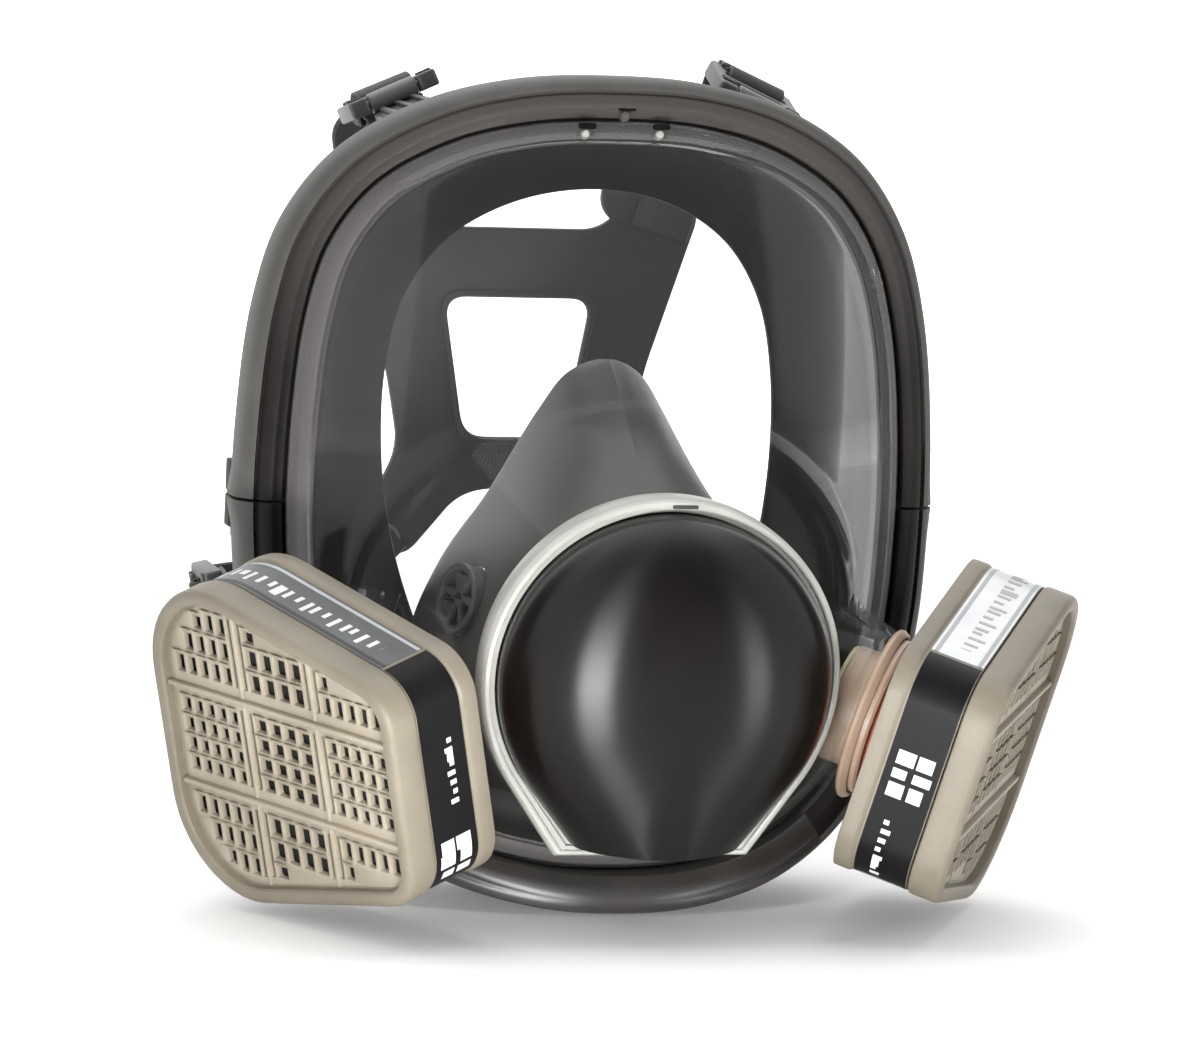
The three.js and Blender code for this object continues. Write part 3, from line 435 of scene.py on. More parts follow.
FRAME_OUTER = finish("frame_outer", "484643", "555350", (0.5, 0.66), grain=0.03, grain_scale=2200,
                     mottle=60, specular=0.3)
# The inner band's paler top is a painted highlight.
FRAME_INNER = finish("frame_inner", "171412", "201c1a", (0.5, 0.66), grain=0.02, grain_scale=2000,
                     specular=0.2, high="45423f")
CHIN = finish("chin_lip", "2b2927", "353230", (0.3, 0.42), grain=0.01)
SEAL = finish("seal_rubber", "22201f", "2a2827", (0.5, 0.64), grain=0.002, grain_scale=1500,
              specular=0.35)
NOSE = finish("nose_rubber", "444140", "4f4c4b", (0.32, 0.44), grain=0.01, grain_scale=1500,
              specular=0.4)
RING = finish("ring_plastic", "a6a6a0", "b8b7b1", (0.28, 0.4), grain=0.01)
INNER = finish("inner_plastic", "8b8c8a", "9a9b98", (0.4, 0.55))
COVER = finish("cover_plastic", "0a0807", "100c0b", (0.29, 0.34), grain=0.003, grain_scale=900,
               specular=0.28, stretch=0.9)
CREAM = finish("cartridge_plastic", "6f6759", "7e7667", (0.42, 0.58), grain=0.05, grain_scale=1800)
GRILLE = finish("grille_plastic", "8e8575", "9e9585", (0.45, 0.6), grain=0.03, grain_scale=1800)
LABEL = finish("label_black", "0b0b0c", "131314", (0.4, 0.52), grain=0.01, specular=0.12)
SILVER = finish("label_silver", "a6a8aa", "b9bbbc", (0.26, 0.38), grain=0.006, metal=0.4)
# A darker copy of the silver: painted shade on the left cartridge.
SHADED_SILVER = finish("label_silver_shaded", "47494a", "5a5c5d", (0.3, 0.42), grain=0.006, metal=0.3)
# Grey print, and on the right cartridge print washed out as a painted highlight.
GREY_AND_LIT_PRINT = finish("label_grey_and_lit_print", "7f8183", "8d8f90", (0.3, 0.42), grain=0.006, metal=0.3)
PRINT = finish("label_print", "c9c9c6", "dededb", (0.4, 0.5), grain=0.01)
TICK = finish("label_tick", "1a1a1b", "2a2a2b", (0.4, 0.5), grain=0.01)
VALVE = finish("valve_rubber", "b3a77f", "c8bd98", (0.4, 0.55), grain=0.03, subsurface=0.2)
GASKET = finish("gasket_red", "a8442c", "c25a3c", (0.4, 0.55), grain=0.04, subsurface=0.25)
COLLAR = finish("port_plastic", "a48c78", "b49c87", (0.35, 0.5), grain=0.03, subsurface=0.15)
CARBON = finish("carbon_granules", "050505", "161616", (0.6, 0.9), grain=0.5, grain_scale=700)
# The felt is painted dark: shade seen through the grille's holes and slots.
SHADED_FELT = finish("filter_felt_shade", "1a1918", "2c2a28", (0.8, 0.95), grain=0.3, grain_scale=1200)
HARNESS = finish("harness_rubber", "2d2a29", "363332", (0.5, 0.66), grain=0.03, grain_scale=1600)
# The buckle's lightened edges are a painted highlight.
BUCKLE = finish("buckle_plastic", "2b2b2b", "3a3a39", (0.36, 0.5), grain=0.05, edge_highlight=0.25)
STEEL = finish("screw_steel", "6f7276", "8d9093", (0.25, 0.4), grain=0.01, metal=1.0)
LENS = clear_lens("lens_clear", 0.004, 0.018, (0.8, 0.8, 0.78, 1))
# The rim's grey haze is a painted reflection.
LENS_RIM_REFLECTION = clear_lens("lens_rim_reflection", 0.55, 0.62, (0.2, 0.19, 0.185, 1))

# ---------------------------------------- frame
SEAM = FRAME_EDGE.share(96)
HALF_GAP = 0.4 / FRAME_EDGE.length


# The section's points as (out, depth, share of the groove's dip, share of the seam's bulge).
FRAME_FRONT = (
    (-10, 3.5, 0, 0), (-9.6, 2.4, 0, 0), (-7.9, 1.3, 0, 0), (-7.4, 0.5, 0, 0), (-6.9, 0.15, 0, 0),
    (-5.6, -0.05, 0, 0), (-4.5, 0.05, 0, 0), (-4.1, 0.3, 1, 0), (-3.7, 0.6, 1, 0), (-3.4, 0.4, 1, 0),
    (-3.0, 0.3, 0, 0), (-2.2, 0.15, 0, 0), (-1.3, 0.6, 0, 0), (-0.5, 1.7, 0, 0.6), (0, 3.4, 0, 1),
)
FRAME_BACK = (
    (0, 8, 0, 1), (0, 12, 0, 1), (-0.6, 14.2, 0, 0), (-2.4, 15.5, 0, 0), (-6, 15.5, 0, 0),
    (-9.7, 15.5, 0, 0), (-10, 15.2, 0, 0), (-10, 12, 0, 0),
    (-4, 12, 0, 0), (-4, 4, 0, 0), (-9.8, 4, 0, 0),
)
RIB_PITCH, SEAM_BULGE, CHIN_LIP = 2.1, 0.9, 8
RIBS_FROM, RIBS_TO = 30, 118  # heights between which the groove's ribs stand out


def frame_section(u):
    """The frame's section at each share, with the ribbed groove between its two bands."""
    u = np.asarray(u, float)
    height = FRAME_EDGE.at(u)[..., 1]
    low = np.clip((RIBS_TO - height) / 12, 0, 1) * np.clip((height - RIBS_FROM) / 14, 0, 1)
    tooth = np.abs(((u * FRAME_EDGE.length / RIB_PITCH) % 1) - 0.5) * 2
    dip = 0.5 + 0.7 * low * tooth
    smooth = chin_share(u)
    from_seam = (np.abs((u % 1) - 0.5) - (0.5 - SEAM)) * FRAME_EDGE.length
    bulge = SEAM_BULGE * np.exp(-((from_seam / 5) ** 2))
    rings = []
    lip_share = [1.0] * 13 + [0.75, 0.45]
    for index, (out, depth, groove, swell) in enumerate(FRAME_FRONT):
        depth = depth + dip * groove
        if index < len(FRAME_FRONT) - 2:
            depth = depth + (0.05 * (out + 5) ** 2 - depth) * smooth
        rings.append(frame_point(u, out + bulge * swell, depth - CHIN_LIP * smooth * lip_share[index]))
    for out, depth, _, swell in FRAME_BACK:
        rings.append(frame_point(u, out + bulge * swell, depth + 0 * u))
    return np.stack(rings, 1)


CHIN_TOP = 14  # below this height the frame is the chin lip
INNER_COLUMNS = 10  # the section's first columns are the inner band


def frame_part(name, start, end, steps):
    rings = frame_section(np.linspace(start, end, steps))
    if name == "lower_frame":
        rings[..., 2] = np.maximum(rings[..., 2], 0.0)
    rows, cols = rings.shape[:2]
    data = bpy.data.meshes.new(name)
    data.from_pydata((rings.reshape(-1, 3) * MM).tolist(), [], ring_faces(rows, cols, caps=True))
    for item in (FRAME_OUTER, FRAME_INNER, CHIN):
        data.materials.append(item)
    middle = FRAME_EDGE.at(np.linspace(start, end, steps))[:, 1]
    for index, face in enumerate(data.polygons[:(rows - 1) * cols]):
        row, col = divmod(index, cols)
        if middle[row] < CHIN_TOP:
            face.material_index = 2
        elif col < INNER_COLUMNS:
            face.material_index = 1
    tidy(data, merge=False)
    shade(data, 50)
    piece(in_scene(name + "_skin", data), "mask", "frame", name)


frame_part("upper_frame", -SEAM + HALF_GAP, SEAM - HALF_GAP, 420)
frame_part("lower_frame", SEAM + HALF_GAP, 1 - SEAM - HALF_GAP, 520)

# The seam's lugs behind the frame, which the screws pass through.
for label, side in SIDES:
    at = frame_point(SEAM if side > 0 else 1 - SEAM, -3.5, 15.5)
    for part, low in (("upper", 96.4), ("lower", 87.6)):
        lug = plate(
            f"{part}_frame_{label}_lug", [rectangle(-3.7, -3.7, 3.7, 3.7, 1.2), circle(1.6, 24, 0, 0.6)],
            low, low + 8, FRAME_INNER, Matrix.Translation((at[0], at[1] + 2.7, 0)), 0.5,
        )
        piece(lug, "mask", "frame")

# ---------------------------------------- exhalation unit
UNIT_TILT = math.radians(5)
UNIT_DEPTH, UNIT_HEIGHT = -65.6, 62.6
UNIT = placement((0, UNIT_DEPTH, UNIT_HEIGHT), (1, 0, 0), (0, -math.cos(UNIT_TILT), -math.sin(UNIT_TILT)))


def mouth_outline(radius, half, drop, reach=1.0, steps=120):
    """A circle whose sides run straight down to a mouth."""
    far = math.hypot(half, drop)
    touch = math.acos(radius / far) - math.atan2(drop, half)
    angles = touch + (math.pi - 2 * touch) * np.arange(steps + 1) / steps
    arc = np.stack([radius * np.cos(angles), radius * np.sin(angles)], -1)
    corner = (np.array([half, -drop]) - arc[0]) * reach + arc[0]
    sides = [arc[-1] + (np.array([-corner[0], corner[1]]) - arc[-1]) * s for s in (0.25, 0.5, 0.75)]
    back = [corner + (arc[0] - corner) * s for s in (0.25, 0.5, 0.75)]
    floor = [np.array([-corner[0] * (1 - s) + corner[0] * s, corner[1]]) for s in np.linspace(0, 1, 9)]
    return np.vstack([arc, sides, floor, back])


def unit_ring():
    """The adapter's ring: a rounded bead outside, a step inside it and the seat of the cover."""
    levels = [
        (44.5, 24, 43.5, -2.8), (44.35, 23.9, 43.35, -1.2), (43.8, 23.5, 42.8, -0.3),
        (43.0, 23, 42.2, 0.0), (42.5, 22.6, 41.9, -0.25), (42.3, 22.4, 41.8, -1.0),
        (41.8, 21.9, 41.4, -1.1), (41.35, 21.2, 41.0, -1.2), (41.3, 21, 41.0, -3.0),
    ]
    rings = []
    for radius, half, drop, height in levels:
        flat = mouth_outline(radius, half, drop)
        rings.append(np.column_stack([flat, np.full(len(flat), height)]))
    base = np.array(rings[0])
    angle = np.arctan2(base[:, 1], base[:, 0])
    turned = np.column_stack([np.cos(angle), np.sin(angle)])
    behind = ((44.5, -6), (44.3, -9), (42.4, -11.8), (41.0, -12), (35, -12), (35, -25), (31, -25))
    for radius, height in behind:
        flat = base[:, :2] * (radius / 44.5) if radius > 36 else turned * radius
        rings.insert(0, np.column_stack([flat, np.full(len(flat), height)]))
    bore = [np.column_stack([turned * 31, np.full(len(angle), h)]) for h in (-24, -3, -6)]
    rings = bore[:1] + rings + bore[1:]
    return skin("centre_ring", np.array(rings), RING, endless=True, angle=32, matrix=UNIT)


piece(unit_ring(), "mask", "adapter", "centre_adapter")
# A thin dark sheet on the ring stands for its slot: painted shade.
slot_shade = plate("ring_slot_shade", [rectangle(-3.2, -0.45, 3.2, 0.45, 0.4)], -0.1, 0.12, TICK,
                 UNIT @ Matrix.Translation((2.5, 42.75, 0)), 0.05)
piece(slot_shade, "mask", "adapter")


def box_cutter(low, high, matrix):
    data = bpy.data.meshes.new("cutter")
    corners = [
        (x, y, z) for x in (low[0], high[0]) for y in (low[1], high[1]) for z in (low[2], high[2])
    ]
    faces = [(0, 1, 3, 2), (4, 6, 7, 5), (0, 4, 5, 1), (2, 3, 7, 6), (0, 2, 6, 4), (1, 5, 7, 3)]
    data.from_pydata([tuple(v * MM for v in c) for c in corners], [], faces)
    data.transform(metres(matrix))
    tidy(data)
    return in_scene("cutter", data)


def hood():
    """The cover: a blown dome with a shoulder, cut off straight below so that it is open there."""
    outer = []
    inner = []
    for shell, thin in ((outer, 0.0), (inner, 2.0)):
        edge = mouth_outline(41 - thin, 20.5 - thin, 40, 2.2)
        top = 21 - thin
        shell.append(np.column_stack([edge, np.full(len(edge), -2.7 - thin / 2)]))
        shell.append(np.column_stack([edge, np.full(len(edge), 0.4)]))
        for turn in np.linspace(0, 0.99, 30):
            a = turn * math.pi / 2
            share = math.cos(a) ** 0.9
            height = 1.3 + (top - 1.3) * math.sin(a)
            shell.append(np.column_stack([edge * share, np.full(len(edge), height)]))
    bodies = []
    for shell in (outer, inner):
        bodies.append(skin("cover_shell", np.array(shell), COVER, caps=True, angle=28, matrix=UNIT))
    mouth = box_cutter((-70, -140, -20), (70, -40, 60), UNIT)
    return cut(bodies[0], bodies[1], mouth)


piece(hood(), "mask", "cover", "exhalation_cover")

# ---------------------------------------- cartridges
FACE_AZIMUTH, FACE_DROP, FACE_ROLL = (math.radians(v) for v in (61, 16.5, 4))
FACE_CENTRE = (91.3, -70.1 + DEPTH_SHIFT, 40.4)
CART_DEPTH = 28


def cartridge_matrix(side):
    """x runs towards the narrow front end, z out through the face, from the back face's middle."""
    flat = math.cos(FACE_DROP)
    out = Vector((
        side * math.sin(FACE_AZIMUTH) * flat, -math.cos(FACE_AZIMUTH) * flat, -math.sin(FACE_DROP),
    ))
    level = Vector((-side * math.cos(FACE_AZIMUTH), -math.sin(FACE_AZIMUTH), 0))
    up = (Vector((0, 0, 1)) - out * out.z).normalized()
    along = level * math.cos(FACE_ROLL) - up * math.sin(FACE_ROLL)
    centre = Vector((side * FACE_CENTRE[0], FACE_CENTRE[1], FACE_CENTRE[2]))
    return placement(centre - out * CART_DEPTH, along, out)


def cartridge_loop(inset, steps=14):
    """The cartridge's outline: a trapezoid with rounded corners."""
    half = 43.15 - inset
    slope = 20 / 86.3
    slant = inset * math.hypot(1, slope)
    corners = []
    for sign in (-1, 1):
        height = 47 - (sign * half + 43.15) * slope - slant
        corners.append((sign * half, height, (24.5 if sign < 0 else 12) - inset))
    ring = [
        (corners[0][0], -corners[0][1], corners[0][2]), (corners[1][0], -corners[1][1], corners[1][2]),
        corners[1], corners[0],
    ]
    loop = []
    for i, (x, y, radius) in enumerate(ring):
        here = Vector((x, y))
        back = (Vector(ring[i - 1][:2]) - here).normalized()
        on = (Vector(ring[(i + 1) % 4][:2]) - here).normalized()
        half_angle = math.acos(back.dot(on)) / 2
        radius = max(radius, 2)
        reach = radius / math.tan(half_angle)
        centre = here + (back + on).normalized() * (radius / math.sin(half_angle))
        start = here + back * reach - centre
        end = here + on * reach - centre
        first = math.atan2(start.y, start.x)
        turn = (math.atan2(end.y, end.x) - first) % (2 * math.pi)
        for k in range(steps + 1):
            a = first + turn * k / steps
            loop.append((centre.x + radius * math.cos(a), centre.y + radius * math.sin(a)))
    return loop


def reach_at(loop, at, axis=0):
    """How far a convex outline reaches across at one place along an axis."""
    hits = []
    for i, b in enumerate(loop):
        a = loop[i - 1]
        if (a[axis] - at) * (b[axis] - at) < 0:
            s = (at - a[axis]) / (b[axis] - a[axis])
            hits.append(a[1 - axis] + s * (b[1 - axis] - a[1 - axis]))
    return (min(hits), max(hits)) if hits else (0, 0)


def spread(loop, count):
    """The loop as evenly spaced points."""
    p = np.array(loop + loop[:1], float)
    far = np.concatenate([[0], np.cumsum(np.linalg.norm(np.diff(p, axis=0), axis=1))])
    want = np.linspace(0, far[-1], count, endpoint=False)
    return np.stack([np.interp(want, far, p[:, k]) for k in (0, 1)], -1)


def swept_wall(name, profile, materials, matrix, angle=35, count=240):
    """A closed section of (inset, height) swept round the cartridge's outline."""
    centre = np.array([-6.0, 0.0])
    base = spread(cartridge_loop(0), count)
    rings = []
    step = np.roll(base, -1, 0) - np.roll(base, 1, 0)
    step /= np.linalg.norm(step, axis=1, keepdims=True)
    inward = np.stack([-step[:, 1], step[:, 0]], -1)
    if ((centre - base) * inward).sum() < 0:
        inward = -inward
    for inset, height in profile:
        rings.append(np.column_stack([base + inward * inset, np.full(count, height)]))
    return skin(name, np.array(rings), materials, endless=True, angle=angle, matrix=matrix), base, inward


def patch(name, base, inward, start, end, low, high, out, material, matrix):
    """A thin printed patch that follows the cartridge's side between two places round it."""
    count = len(base)
    index = np.arange(start, end + 1) % count
    rings = []
    for inset, height in ((0.6 - out, low), (0.6 - out, high), (0.95, high), (0.95, low)):
        rings.append(np.column_stack([base[index] + inward[index] * inset, np.full(len(index), height)]))
    return skin(name, np.array(rings).transpose(1, 0, 2), material, caps=True, matrix=matrix)


def bar(name, x0, y0, x1, y1, width, low, high, material, matrix, round_off=0.5):
    """A rounded bar from one point to another, standing on the plate."""
    a = Vector((x0, y0))
    b = Vector((x1, y1))
    on = (b - a).normalized()
    off = Vector((-on.y, on.x)) * width / 2
    loop = [tuple(a - off), tuple(b - off), tuple(b + off), tuple(a + off)]
    return plate(name, [rounded(loop, width * 0.3, 3)], low, high, material, matrix, round_off)


GRILLE_HALF_X, GRILLE_HALF_Y = 37, 41
GRILLE_PITCH_X, GRILLE_PITCH_Y = 4.75, 5.7


def cartridge(label, side):
    body = label + "_cartridge"
    place = cartridge_matrix(side)
    up = -side  # which way local y climbs
    rim, base, inward = swept_wall(label + "_lid_rim", [
        (0.5, 19.6), (0.15, 19.9), (0, 20.6), (0, 26.3),
        (0.35, 27.3), (1.1, 27.9), (2.4, 28), (3.4, 27.8),
        (3.9, 27.2), (4.0, 26), (4.0, 25.3), (4.6, 24.9), (4.6, 23.3), (1.5, 23.2), (1.5, 19.6),
    ], CREAM, place)
    piece(rim, body, "cartridge", body + "_lid")
    holes = []
    field = cartridge_loop(6.0)
    bays = (-13.0, 13.0)  # where the grille's ribs cross it, both ways
    rows = [(-46, bays[0] - 2.6), (bays[0] + 2.6, bays[1] - 2.6), (bays[1] + 2.6, 46)]
    for left, right in rows:
        for low, high in rows:
            x_start, y_start = max(left, -GRILLE_HALF_X), max(low, -GRILLE_HALF_Y)
            wide = min(right, GRILLE_HALF_X) - x_start
            tall = min(high, GRILLE_HALF_Y) - y_start
            across = max(1, round(wide / GRILLE_PITCH_X))
            upward = max(1, round(tall / GRILLE_PITCH_Y))
            for i in range(across):
                for j in range(upward):
                    x = x_start + (i + 0.5) * wide / across
                    y = y_start + (j + 0.5) * tall / upward
                    reach = reach_at(field, x)
                    if not reach[0] + 1 < y < reach[1] - 1:
                        continue
                    y0 = max(y - tall / upward / 2 + 0.55, reach[0])
                    y1 = min(y + tall / upward / 2 - 0.55, reach[1])
                    if y1 - y0 < 1.2:
                        continue
                    half = wide / across / 2 - 0.62
                    holes.append(rectangle(x - half, y0, x + half, y1, 0.5, 2))
    # A slot runs along each side of the two upright ribs.
    for at in bays:
        for low, high in rows:
            for near, far in ((-2.3, -0.8), (0.8, 2.3)):
                reach = reach_at(field, at + near)
                start, end = max(low, reach[0]) + 0.4, min(high, reach[1]) - 0.4
                holes.append(rectangle(at + near, start, at + far, end, 0.4, 2))
    slots = len(bays) * len(rows) * 2
    outlines = [cartridge_loop(4.3)] + holes
    face = plate(label + "_grille_plate", outlines, 23.5, 25.3, GRILLE, place, 0.35, 1)
    piece(face, body, "cartridge")
    for index, at in enumerate(bays):
        for direction in (0, 1):
            reach = reach_at(cartridge_loop(4.2), at, direction)
            ends = (at, reach[0], at, reach[1]) if direction == 0 else (reach[0], at, reach[1], at)
            rib = bar(f"{label}_grille_rib_{direction}_{index}", *ends, 1.3,
                      24.6, 25.6 if direction == 0 else 26.9, GRILLE, place, 0.4)
            piece(rib, body, "cartridge")
    # Wedge-shaped teeth over the windows' upper edges, as on a moulded grille.
    teeth = []
    faces = []
    for loop in holes[:-slots]:
        xs = [p[0] for p in loop]
        ys = [p[1] for p in loop]
        top = max(ys) if up > 0 else min(ys)
        foot = 0.85 * up
        x0, x1 = min(xs) - 0.1, max(xs) + 0.1
        start = len(teeth)
        for x in (x0, x1):
            teeth += [
                (x, top + foot * 0.2, 25.1), (x, top + foot * 0.9, 26.1),
                (x, top - foot * 1.5, 24.4), (x, top - foot * 1.5, 23.9),
            ]
        faces += [(start, start + 1, start + 2, start + 3), (start + 4, start + 7, start + 6, start + 5)]
        for k in range(4):
            n = (k + 1) % 4
            faces.append((start + k, start + 4 + k, start + 4 + n, start + n))
    wedge = from_points(label + "_grille_teeth", teeth, faces, GRILLE, 30, place)
    piece(wedge, body, "cartridge")
    wall, base, inward = swept_wall(label + "_body_wall", [
        (1.0, 0), (0.1, 0.3), (0.0, 1.2), (0.0, 4.0), (0.25, 4.6),
        (0.6, 5.0), (0.6, 19.1), (1.2, 19.3), (3.4, 19.3),
        (3.6, 22.4), (3.6, 22.6), (5.2, 22.6), (5.2, 2.4), (3.6, 2.2), (3.6, 0),
    ], CREAM, place)
    piece(wall, body, "cartridge", body + "_body")
    back = plate(label + "_body_back", [cartridge_loop(3.4), circle(17.5, 72)], 0, 2.2, CREAM, place,
                 0.3)
    piece(back, body, "cartridge")
    for third in range(3):
        turn = math.radians(120 * third)
        band = arc_band(turn, 18.2, 15.4, 30, 16)
        tab = plate(f"{label}_body_tab_{third}", [band], 0, 2.2, CREAM, place, 0.2)
        piece(tab, body, "cartridge")
    # Where the narrow end and the upper side lie round the outline.
    count = len(base)
    nose = int(np.argmax(base[:, 0] - np.abs(base[:, 1]) * 0.01))
    order = 1 if base[(nose + 4) % count][1] * up > base[nose][1] * up else -1
    length = np.linalg.norm(np.roll(base, -1, 0) - base, axis=1).mean()

    def span(a, b):
        """The outline's points from a to b millimetres round from the narrow end."""
        a, b = (nose + order * int(round(v / length)) for v in (a, b))
        return (a, b) if a < b else (b, a)

    def stick(tag, a, b, low, high, out, finish_):
        start, end = span(a, b)
        item = patch(f"{label}_{tag}", base, inward, start, end, low, high, out, finish_, place)
        piece(item, body, "cartridge")

    stick("label_end", -34, 34, 5.5, 18.9, 0.12, LABEL)
    # The left's darker silver is painted shade; the right's faint ticks and lines are a painted highlight.
    stick("label_top", 35, 118, 5.5, 18.9, 0.1, SILVER if side > 0 else SHADED_SILVER)
    stick("label_bottom", -112, -35, 5.5, 18.9, 0.1, LABEL)
    # The two cartridges are one part turned over, so the right one's blocks lie the other way round.
    for index in range(6):
        column, row = divmod(index, 2)
        a = -14 - column * 4.1 if side < 0 else 5.6 - column * 4.1
        low = 7.6 + row * 5.3
        stick(f"label_block_{index}", a - 3.2, a, low, low + 4.6 - (index % 3) * 0.5, 0.2, PRINT)
    for index in range(8):
        a = 11 - index * 2.2 if side < 0 else -12 - index * 2.2
        stick(f"label_mark_{index}", a - 1.3, a, 9.6, 11.0 + (index * 5 % 3) * 0.5, 0.2, PRINT)
    stick("label_edge", -31.4, -30.8, 6.5, 18.0, 0.2, GREY_AND_LIT_PRINT)
    ink = GREY_AND_LIT_PRINT if side > 0 else PRINT
    for index in range(22):
        start = 41 + index * 3.2
        tall = 2.6 + (index * 7 % 3) * 0.9
        stick(f"label_tick_{index}", start, start + 0.8 + (index % 4) * 0.3, 11.3, 11.3 + tall, 0.18, ink)
    stick("label_line_low", 36, 117, 6.2, 7.2, 0.18, SILVER if side < 0 else GREY_AND_LIT_PRINT)
    stick("label_line_high", 36, 117, 17.3, 18.3, 0.18, TICK if side < 0 else GREY_AND_LIT_PRINT)


for label, side in SIDES:
    cartridge(label, side)
    place = cartridge_matrix(side)
    port = lathe(label + "_port_barrel", [
        (12.5, -16), (14.8, -16), (14.8, -9.0), (19.2, -9.0),
        (19.9, -8.5), (20, -7), (19.9, -5), (19.2, -4.4),
        (14.8, -4.3), (14.8, 4.7), (14.5, 5), (12.8, 5), (12.5, 4.7),
    ], COLLAR, place)
    piece(port, "mask", "adapter", label + "_bayonet_port")
    for third in range(3):
        turn = math.radians(120 * third)
        band = arc_band(turn, 17.2, 14.4, 14, 9)
        lug = plate(f"{label}_port_lug_{third}", [band], 2.6, 4.8, COLLAR, place, 0.3)
        piece(lug, "mask", "adapter")
        spoke = bar(f"{label}_port_spoke_{third}", 0, 0, 12.8 * math.cos(turn), 12.8 * math.sin(turn),
                    1.6, -15.2, -13.6, COLLAR, place, 0.3)
        piece(spoke, "mask", "adapter")
    gasket = lathe(label + "_gasket_ring", [
        (15.1, -3.9), (15.6, -4), (18.6, -4), (19.3, -3.6),
        (19.4, -3), (18.9, -2.2), (19.4, -1.4), (19.3, -0.6),
        (18.6, -0.3), (15.6, -0.3), (15.1, -0.5),
    ], GASKET, place)
    piece(gasket, "mask", "gasket", label + "_port_gasket")
    boss = lathe(label + "_port_collar", [
        (20.4, -9), (21.2, -9), (21.9, -8.4), (22, -7.6), (21.4, -6.6), (20.9, -6.2), (20.4, -6.4),
    ], COLLAR, place)
    piece(boss, "mask", "adapter")
    # Its dark tone is painted shade in the grille's holes.
    pad = plate(label + "_felt_pad", [cartridge_loop(5.4)], 17.8, 22.9, SHADED_FELT, place, 0.8)
    piece(pad, label + "_cartridge", "felt", label + "_filter_pad")

# ---------------------------------------- lens
SNOUT_FACE, SNOUT_RADIUS, SNOUT_SLOPE = -14.3, 42.5, 0.52
BOSS_FACE, BOSS_RADIUS = -9.4, 21.4  # the stands for the cartridge ports
LENS_HOLE = 35.6
LENS_THICKNESS = 2.4
# The grey of the rim's bands is a painted reflection.
RIM_BANDS = 5  # the bands of the rounded rim that are hazy
RIM_STEP = (  # (inset, depth) across the lens's rounded rim
    (10.8, 4.3), (11.3, 3.9), (12.0, 2.9), (12.7, 1.7),
    (13.6, 0.6), (14.8, -0.2), (16.2, -0.6), (17.5, -0.7),
)


def first_depth(value, near, far):
    """The smallest depth at which a value that falls with depth has passed below zero."""
    low = near
    high = far
    for _ in range(36):
        middle = (low + high) / 2
        past = value(middle) <= 0
        high = np.where(past, middle, high)
        low = np.where(past, low, middle)
    return high


def lens_depth(x, z):
    """Depth of the lens's front: the wrap surface, with the snout and the port bosses on it."""
    x = np.asarray(x, float)
    z = np.asarray(z, float)
    y = wrap_depth(x, z) - 0.7
    cos, sin = math.cos(UNIT_TILT), math.sin(UNIT_TILT)
    dz = z - UNIT_HEIGHT

    def beyond_cone(d):
        dy = d - UNIT_DEPTH
        h = -(dy * cos + dz * sin)
        up = dz * cos - dy * sin
        return np.maximum(h - SNOUT_FACE, np.hypot(x, up) - SNOUT_RADIUS - (SNOUT_FACE - h) * SNOUT_SLOPE)

    cone = first_depth(beyond_cone, np.full_like(y, -70.0), np.full_like(y, 60.0))
    soft = 5.0
    mix = np.clip(0.5 + 0.5 * (y - cone) / soft, 0, 1)
    out = y * (1 - mix) + cone * mix - soft * mix * (1 - mix)
    for _, side in SIDES:
        m = cartridge_matrix(side)
        axis = np.array(m.col[2][:3])
        origin = np.array(m.col[3][:3])

        def beyond_boss(d):
            p = np.stack([x, d, z], -1) - origin
            h = p @ axis
            r = np.sqrt(np.maximum((p**2).sum(-1) - h**2, 0))
            return np.maximum(h - BOSS_FACE, r - BOSS_RADIUS)

        near = np.full_like(y, 1e3)
        for start in np.linspace(-62, 8, 36):
            d = np.full_like(y, start)
            near = np.where((beyond_boss(d) <= 0) & (near > 1e2), d, near)
        hit = near < 1e2
        exact = first_depth(beyond_boss, np.where(hit, near - 2.0, 0.0), np.where(hit, near, 1.0))
        near = np.where(hit, exact, 1e3)
        mix = np.clip(0.5 + 0.5 * (out - near) / 2.0, 0, 1)
        out = np.where(hit, out * (1 - mix) + near * mix - 2.0 * mix * (1 - mix), out)
    return out


def lens_piece():
    steps = 300
    u = np.arange(steps) / steps
    rim = [frame_point(u, -inset, depth) for inset, depth in RIM_STEP]
    edge = rim[-1]
    centre = np.array([0.0, UNIT_HEIGHT])
    away = edge[:, [0, 2]] - centre
    angle = np.arctan2(away[:, 1], away[:, 0])
    hole = np.stack([np.cos(angle), np.sin(angle)], -1) * LENS_HOLE + centre
    rings = list(rim)
    for s in np.linspace(0, 1, 110)[1:]:
        flat = edge[:, [0, 2]] * (1 - s) + hole * s
        depth = lens_depth(flat[:, 0], flat[:, 1])
        ease = min(1.0, s / 0.05)
        base = wrap_depth(flat[:, 0], flat[:, 1]) - 0.7
        depth = base * (1 - ease) + depth * ease
        rings.append(np.stack([flat[:, 0], depth, flat[:, 1]], -1))
    obj = skin("lens_shell", np.array(rings), [LENS, LENS_RIM_REFLECTION], angle=60)
    for face in obj.data.polygons[:RIM_BANDS * steps]:
        face.material_index = 1
    normal = obj.data.polygons[0].normal
    thick = obj.modifiers.new("thickness", "SOLIDIFY")
    thick.thickness = LENS_THICKNESS * MM
    thick.offset = -1 if normal.y < 0 else 1
    return piece(obj, "mask", "lens", "lens")


lens_piece()
